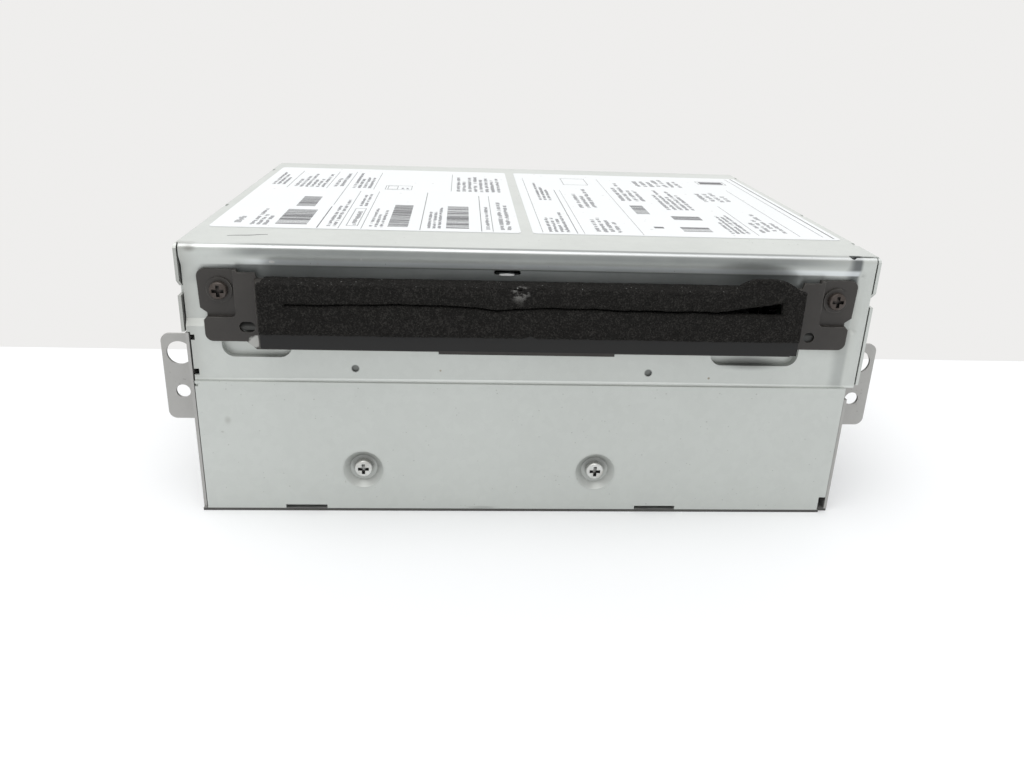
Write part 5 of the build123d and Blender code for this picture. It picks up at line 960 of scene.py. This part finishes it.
@dataclass
class LabelPrint:
    """Generic print on the two labels, set to be read from the left side as the rows run front to back."""

    top: float = 75.12
    sink: float = 0.01
    ink: float = 0.03
    line: float = 0.16
    stripes: tuple[float, ...] = (0.22, 0.22, 0.44, 0.66)
    most_stripes: int = 400
    tallest: float = 2.4
    gaps: float = 0.14
    seed: int = 11

    def rects(self, block: Block, lot: np.random.Generator) -> np.ndarray:
        """Rectangles of one block, as an (n, 4) array."""
        x0, y0, x1, y1 = block.x0, block.y0, block.x1, block.y1
        if block.mark is Mark.FRAME:
            w = self.line
            across = [[x0, y0, x1, y0 + w], [x0, y1 - w, x1, y1]]
            along = [[x0, y0 + w, x0 + w, y1 - w], [x1 - w, y0 + w, x1, y1 - w]]
            return np.array(across + along)
        if block.mark is Mark.STRIPES:
            widths = lot.choice(self.stripes, self.most_stripes)
            ends = y0 + np.cumsum(widths)
            keep = (np.arange(self.most_stripes) % 2 == 0) & (ends < y1)
            left, right = np.full_like(ends, x0), np.full_like(ends, x1)
            return np.stack([left, ends - widths, right, ends], axis=1)[keep]
        if block.mark is Mark.LINES:
            return self.words(block, lot)
        return np.array([[x0, y0, x1, y1]])

    def words(self, block: Block, lot: np.random.Generator) -> np.ndarray:
        """Rows of bars: each row is cut into words, and each word into short dashes of mixed height."""
        pitch = (block.x1 - block.x0) / block.rows
        tall = min(pitch * 0.68, self.tallest)
        step = tall * 0.62
        count = int((block.y1 - block.y0) / step)
        row, place = np.meshgrid(np.arange(block.rows), np.arange(count), indexing="ij")
        word = lot.random(row.shape) > self.gaps
        length = lot.uniform(0.5, 1.0, block.rows)[:, None] * count
        keep = word & (place < length)
        y = block.y0 + place[keep] * step
        shape = lot.uniform(0.55, 1.0, keep.sum()) * tall
        x = block.x1 - row[keep] * pitch - tall + lot.uniform(0, 1, keep.sum()) * (tall - shape)
        return np.stack([x, y, x + shape, y + step * 0.62], axis=1)

    def build(self, ink: Material, pale: Material) -> None:
        """Makes the print of both labels: stripes, patches and rules in ink, words in the paler tone."""
        for side, label in (("left", LEFT_LABEL), ("right", RIGHT_LABEL)):
            lot = np.random.default_rng(self.seed + len(label))
            for tone, material in (("words", pale), ("rules", ink)):
                chosen = [block for block in label if (block.mark is Mark.LINES) == (tone == "words")]
                rects = np.concatenate([self.rects(block, lot) for block in chosen])
                piece = plates(f"print_{side}_{tone}", rects, self.top - self.sink, self.top + self.ink)
                attach(piece, "housing", material)


@dataclass
class PenDash:
    """A thin slanted stroke of a pen on the cover in front of the left label. Millimetres."""

    start: Pair = (-79.4, 10.1)
    end: Pair = (-69.4, 12.3)
    half: float = 0.34
    low: float = 74.99
    high: float = 75.02
    steps: int = 12

    def build(self, ink: Material) -> None:
        """Makes the stroke as a flat ribbon that wavers and narrows at its ends."""
        a, b = np.array(self.start), np.array(self.end)
        along = (b - a) / np.linalg.norm(b - a)
        side = np.array([-along[1], along[0]]) * self.half
        s = np.linspace(0, 1, self.steps)[:, None]
        middle = a + (b - a) * s + side * 0.5 * np.sin(s * 9)
        width = (0.5 + 0.5 * np.sin(np.pi * s)) * side
        flat = np.stack([middle - width, middle + width, middle + width, middle - width], axis=1)
        z = np.tile([self.low, self.low, self.high, self.high], (self.steps, 1))
        points = np.concatenate([flat, z[..., None]], axis=-1).reshape(-1, 3)
        stroke = mesh_object("pen_dash", placed(points), ring_faces(self.steps, 4), smooth=False)
        attach(stroke, "housing", ink)


@dataclass
class Studio:
    """Camera, lamps, floor and background of the photograph. Millimetres and degrees."""

    focal_px: float = 877.75
    picture_px: float = 1024.0
    sensor: float = 36.0
    eye: Point = (-18.95, -218.1, 126.9)
    yaw: float = 3.70
    pitch: float = 21.99
    roll: float = 2.09
    sky: RGB = (0.96, 0.98, 1.0)
    sky_power: float = 0.72
    floor_half: float = 3.0
    edge_y: float = 129.0
    floor: RGB = (0.90, 0.90, 0.90)
    wall: RGB = (0.862, 0.855, 0.845)

    def camera(self) -> None:
        """Makes the camera: forward from yaw and pitch, then turned by the roll."""
        yaw, pitch, roll = (math.radians(a) for a in (self.yaw, self.pitch, self.roll))
        level = math.cos(pitch)
        forward = Vector((math.sin(yaw) * level, math.cos(yaw) * level, -math.sin(pitch)))
        right = Vector((math.cos(yaw), -math.sin(yaw), 0.0))
        up = right.cross(forward)
        x_axis = math.cos(roll) * right + math.sin(roll) * up
        y_axis = -math.sin(roll) * right + math.cos(roll) * up
        data = bpy.data.cameras.new("camera")
        data.sensor_width = self.sensor
        data.lens = self.focal_px / self.picture_px * self.sensor
        data.clip_start = 0.01
        eye = bpy.data.objects.new("camera", data)
        turn = Matrix((x_axis, y_axis, -forward)).transposed().to_4x4()
        eye.matrix_world = Matrix.Translation(at(*self.eye)) @ turn
        bpy.context.scene.collection.objects.link(eye)
        bpy.context.scene.camera = eye

    def lamp(self, name: str, place: Point, aim: Point, size: Pair, power: float) -> None:
        """Adds a rectangular area lamp, wide and tall as size says, that looks at aim; all in metres."""
        data = bpy.data.lights.new(name, "AREA")
        data.shape = "RECTANGLE"
        data.size, data.size_y = size
        data.energy = power
        lamp = bpy.data.objects.new(name, data)
        lamp.location = place
        lamp.rotation_euler = (Vector(aim) - Vector(place)).to_track_quat("-Z", "Y").to_euler()
        bpy.context.scene.collection.objects.link(lamp)

    def build(self) -> None:
        """Makes the lamps, the world and the floor."""
        self.lamp("key", (-0.2, -0.35, 1.4), (0.0, 0.0, 0.03), (1.3, 1.3), 12.0)
        self.lamp("back", (0.1, 1.6, 0.85), (0.0, 0.0, 0.05), (3.0, 1.2), 5.0)
        world = bpy.data.worlds.new("studio")
        bpy.context.scene.world = world
        world.use_nodes = True
        tree = Tree(world.node_tree)
        lit = world.node_tree.nodes["Background"]
        tree.put(lit, "Strength", self.sky_power)
        tree.put(lit, "Color", self.sky)
        shown = tree.add("Background", Strength=1.0, Color=self.wall)
        ray = tree.add("LightPath")
        seen = tree.math("MAXIMUM", ray.outputs["Is Camera Ray"], ray.outputs["Is Glossy Ray"])
        seen = tree.math("MAXIMUM", seen, ray.outputs["Is Transmission Ray"])
        pick = tree.add("MixShader")
        tree.put(pick, 0, seen)
        tree.put(pick, 1, lit.outputs[0])
        tree.put(pick, 2, shown.outputs[0])
        tree.put(world.node_tree.nodes["World Output"], "Surface", pick.outputs[0])
        self.ground()

    def ground(self) -> None:
        """Makes the floor: a wide plate, lit up to the table's far edge and wall-coloured behind it."""
        corners = np.array([[-1, -1, 0], [1, -1, 0], [1, 1, 0], [-1, 1, 0]]) * self.floor_half
        plate = mesh_object("floor", corners, [[0, 1, 2, 3]], smooth=False)
        material = bpy.data.materials.new("floor")
        material.use_nodes = True
        tree = Tree(material.node_tree)
        shader = material.node_tree.nodes["Principled BSDF"]
        y = tree.add("SeparateXYZ", Vector=tree.add("TexCoord").outputs["Object"]).outputs["Y"]
        beyond = tree.depth(y, (self.edge_y - 0.4, self.edge_y + 0.4))
        tree.put(shader, "Base Color", tree.mix(beyond, self.floor, (0.0, 0.0, 0.0)))
        tree.put(shader, "Emission Color", tree.mix(beyond, (0.05, 0.05, 0.05), self.wall))
        tree.put(shader, "Emission Strength", 1.0)
        tree.put(shader, "Specular IOR Level", 0.0)
        tree.put(shader, "Roughness", 1.0)
        plate.data.materials.append(material)


def main() -> None:
    """Builds the scene in order: frame, camera, lamps, finishes, then each sub-assembly."""
    logging.basicConfig(level=logging.INFO, format="%(message)s")
    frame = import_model()
    bpy.context.scene.view_settings.view_transform = "Standard"
    studio = Studio()
    studio.camera()
    studio.build()
    build_groups()
    made = {finish.name: finish.make() for finish in FINISHES}
    sheets = {name: finish.make() for name, finish in SHEETS.items()}
    sheets["side_plate_right"] = sheets["side_plate_left"]
    slots = {part["node"]: part["material_slot"] for part in frame["record"]["subparts"]}
    slots.update(DARK_INSIDE)
    for name, node in frame["nodes"].items():
        dress(node, sheets.get(name, made[slots[name]]))
    LOG.info("%d nodes dressed", len(slots))
    ink = Moulded("print_ink", (0.13, 0.13, 0.135), 0.6, 0.0, wear=0.0).make()
    pale = Moulded("print_pale", (0.25, 0.25, 0.26), 0.6, 0.0, wear=0.0).make()
    Foam().build(made["foam"])
    LabelPrint().build(ink, pale)
    PenDash().build(ink)


if __name__ == "__main__":
    main()
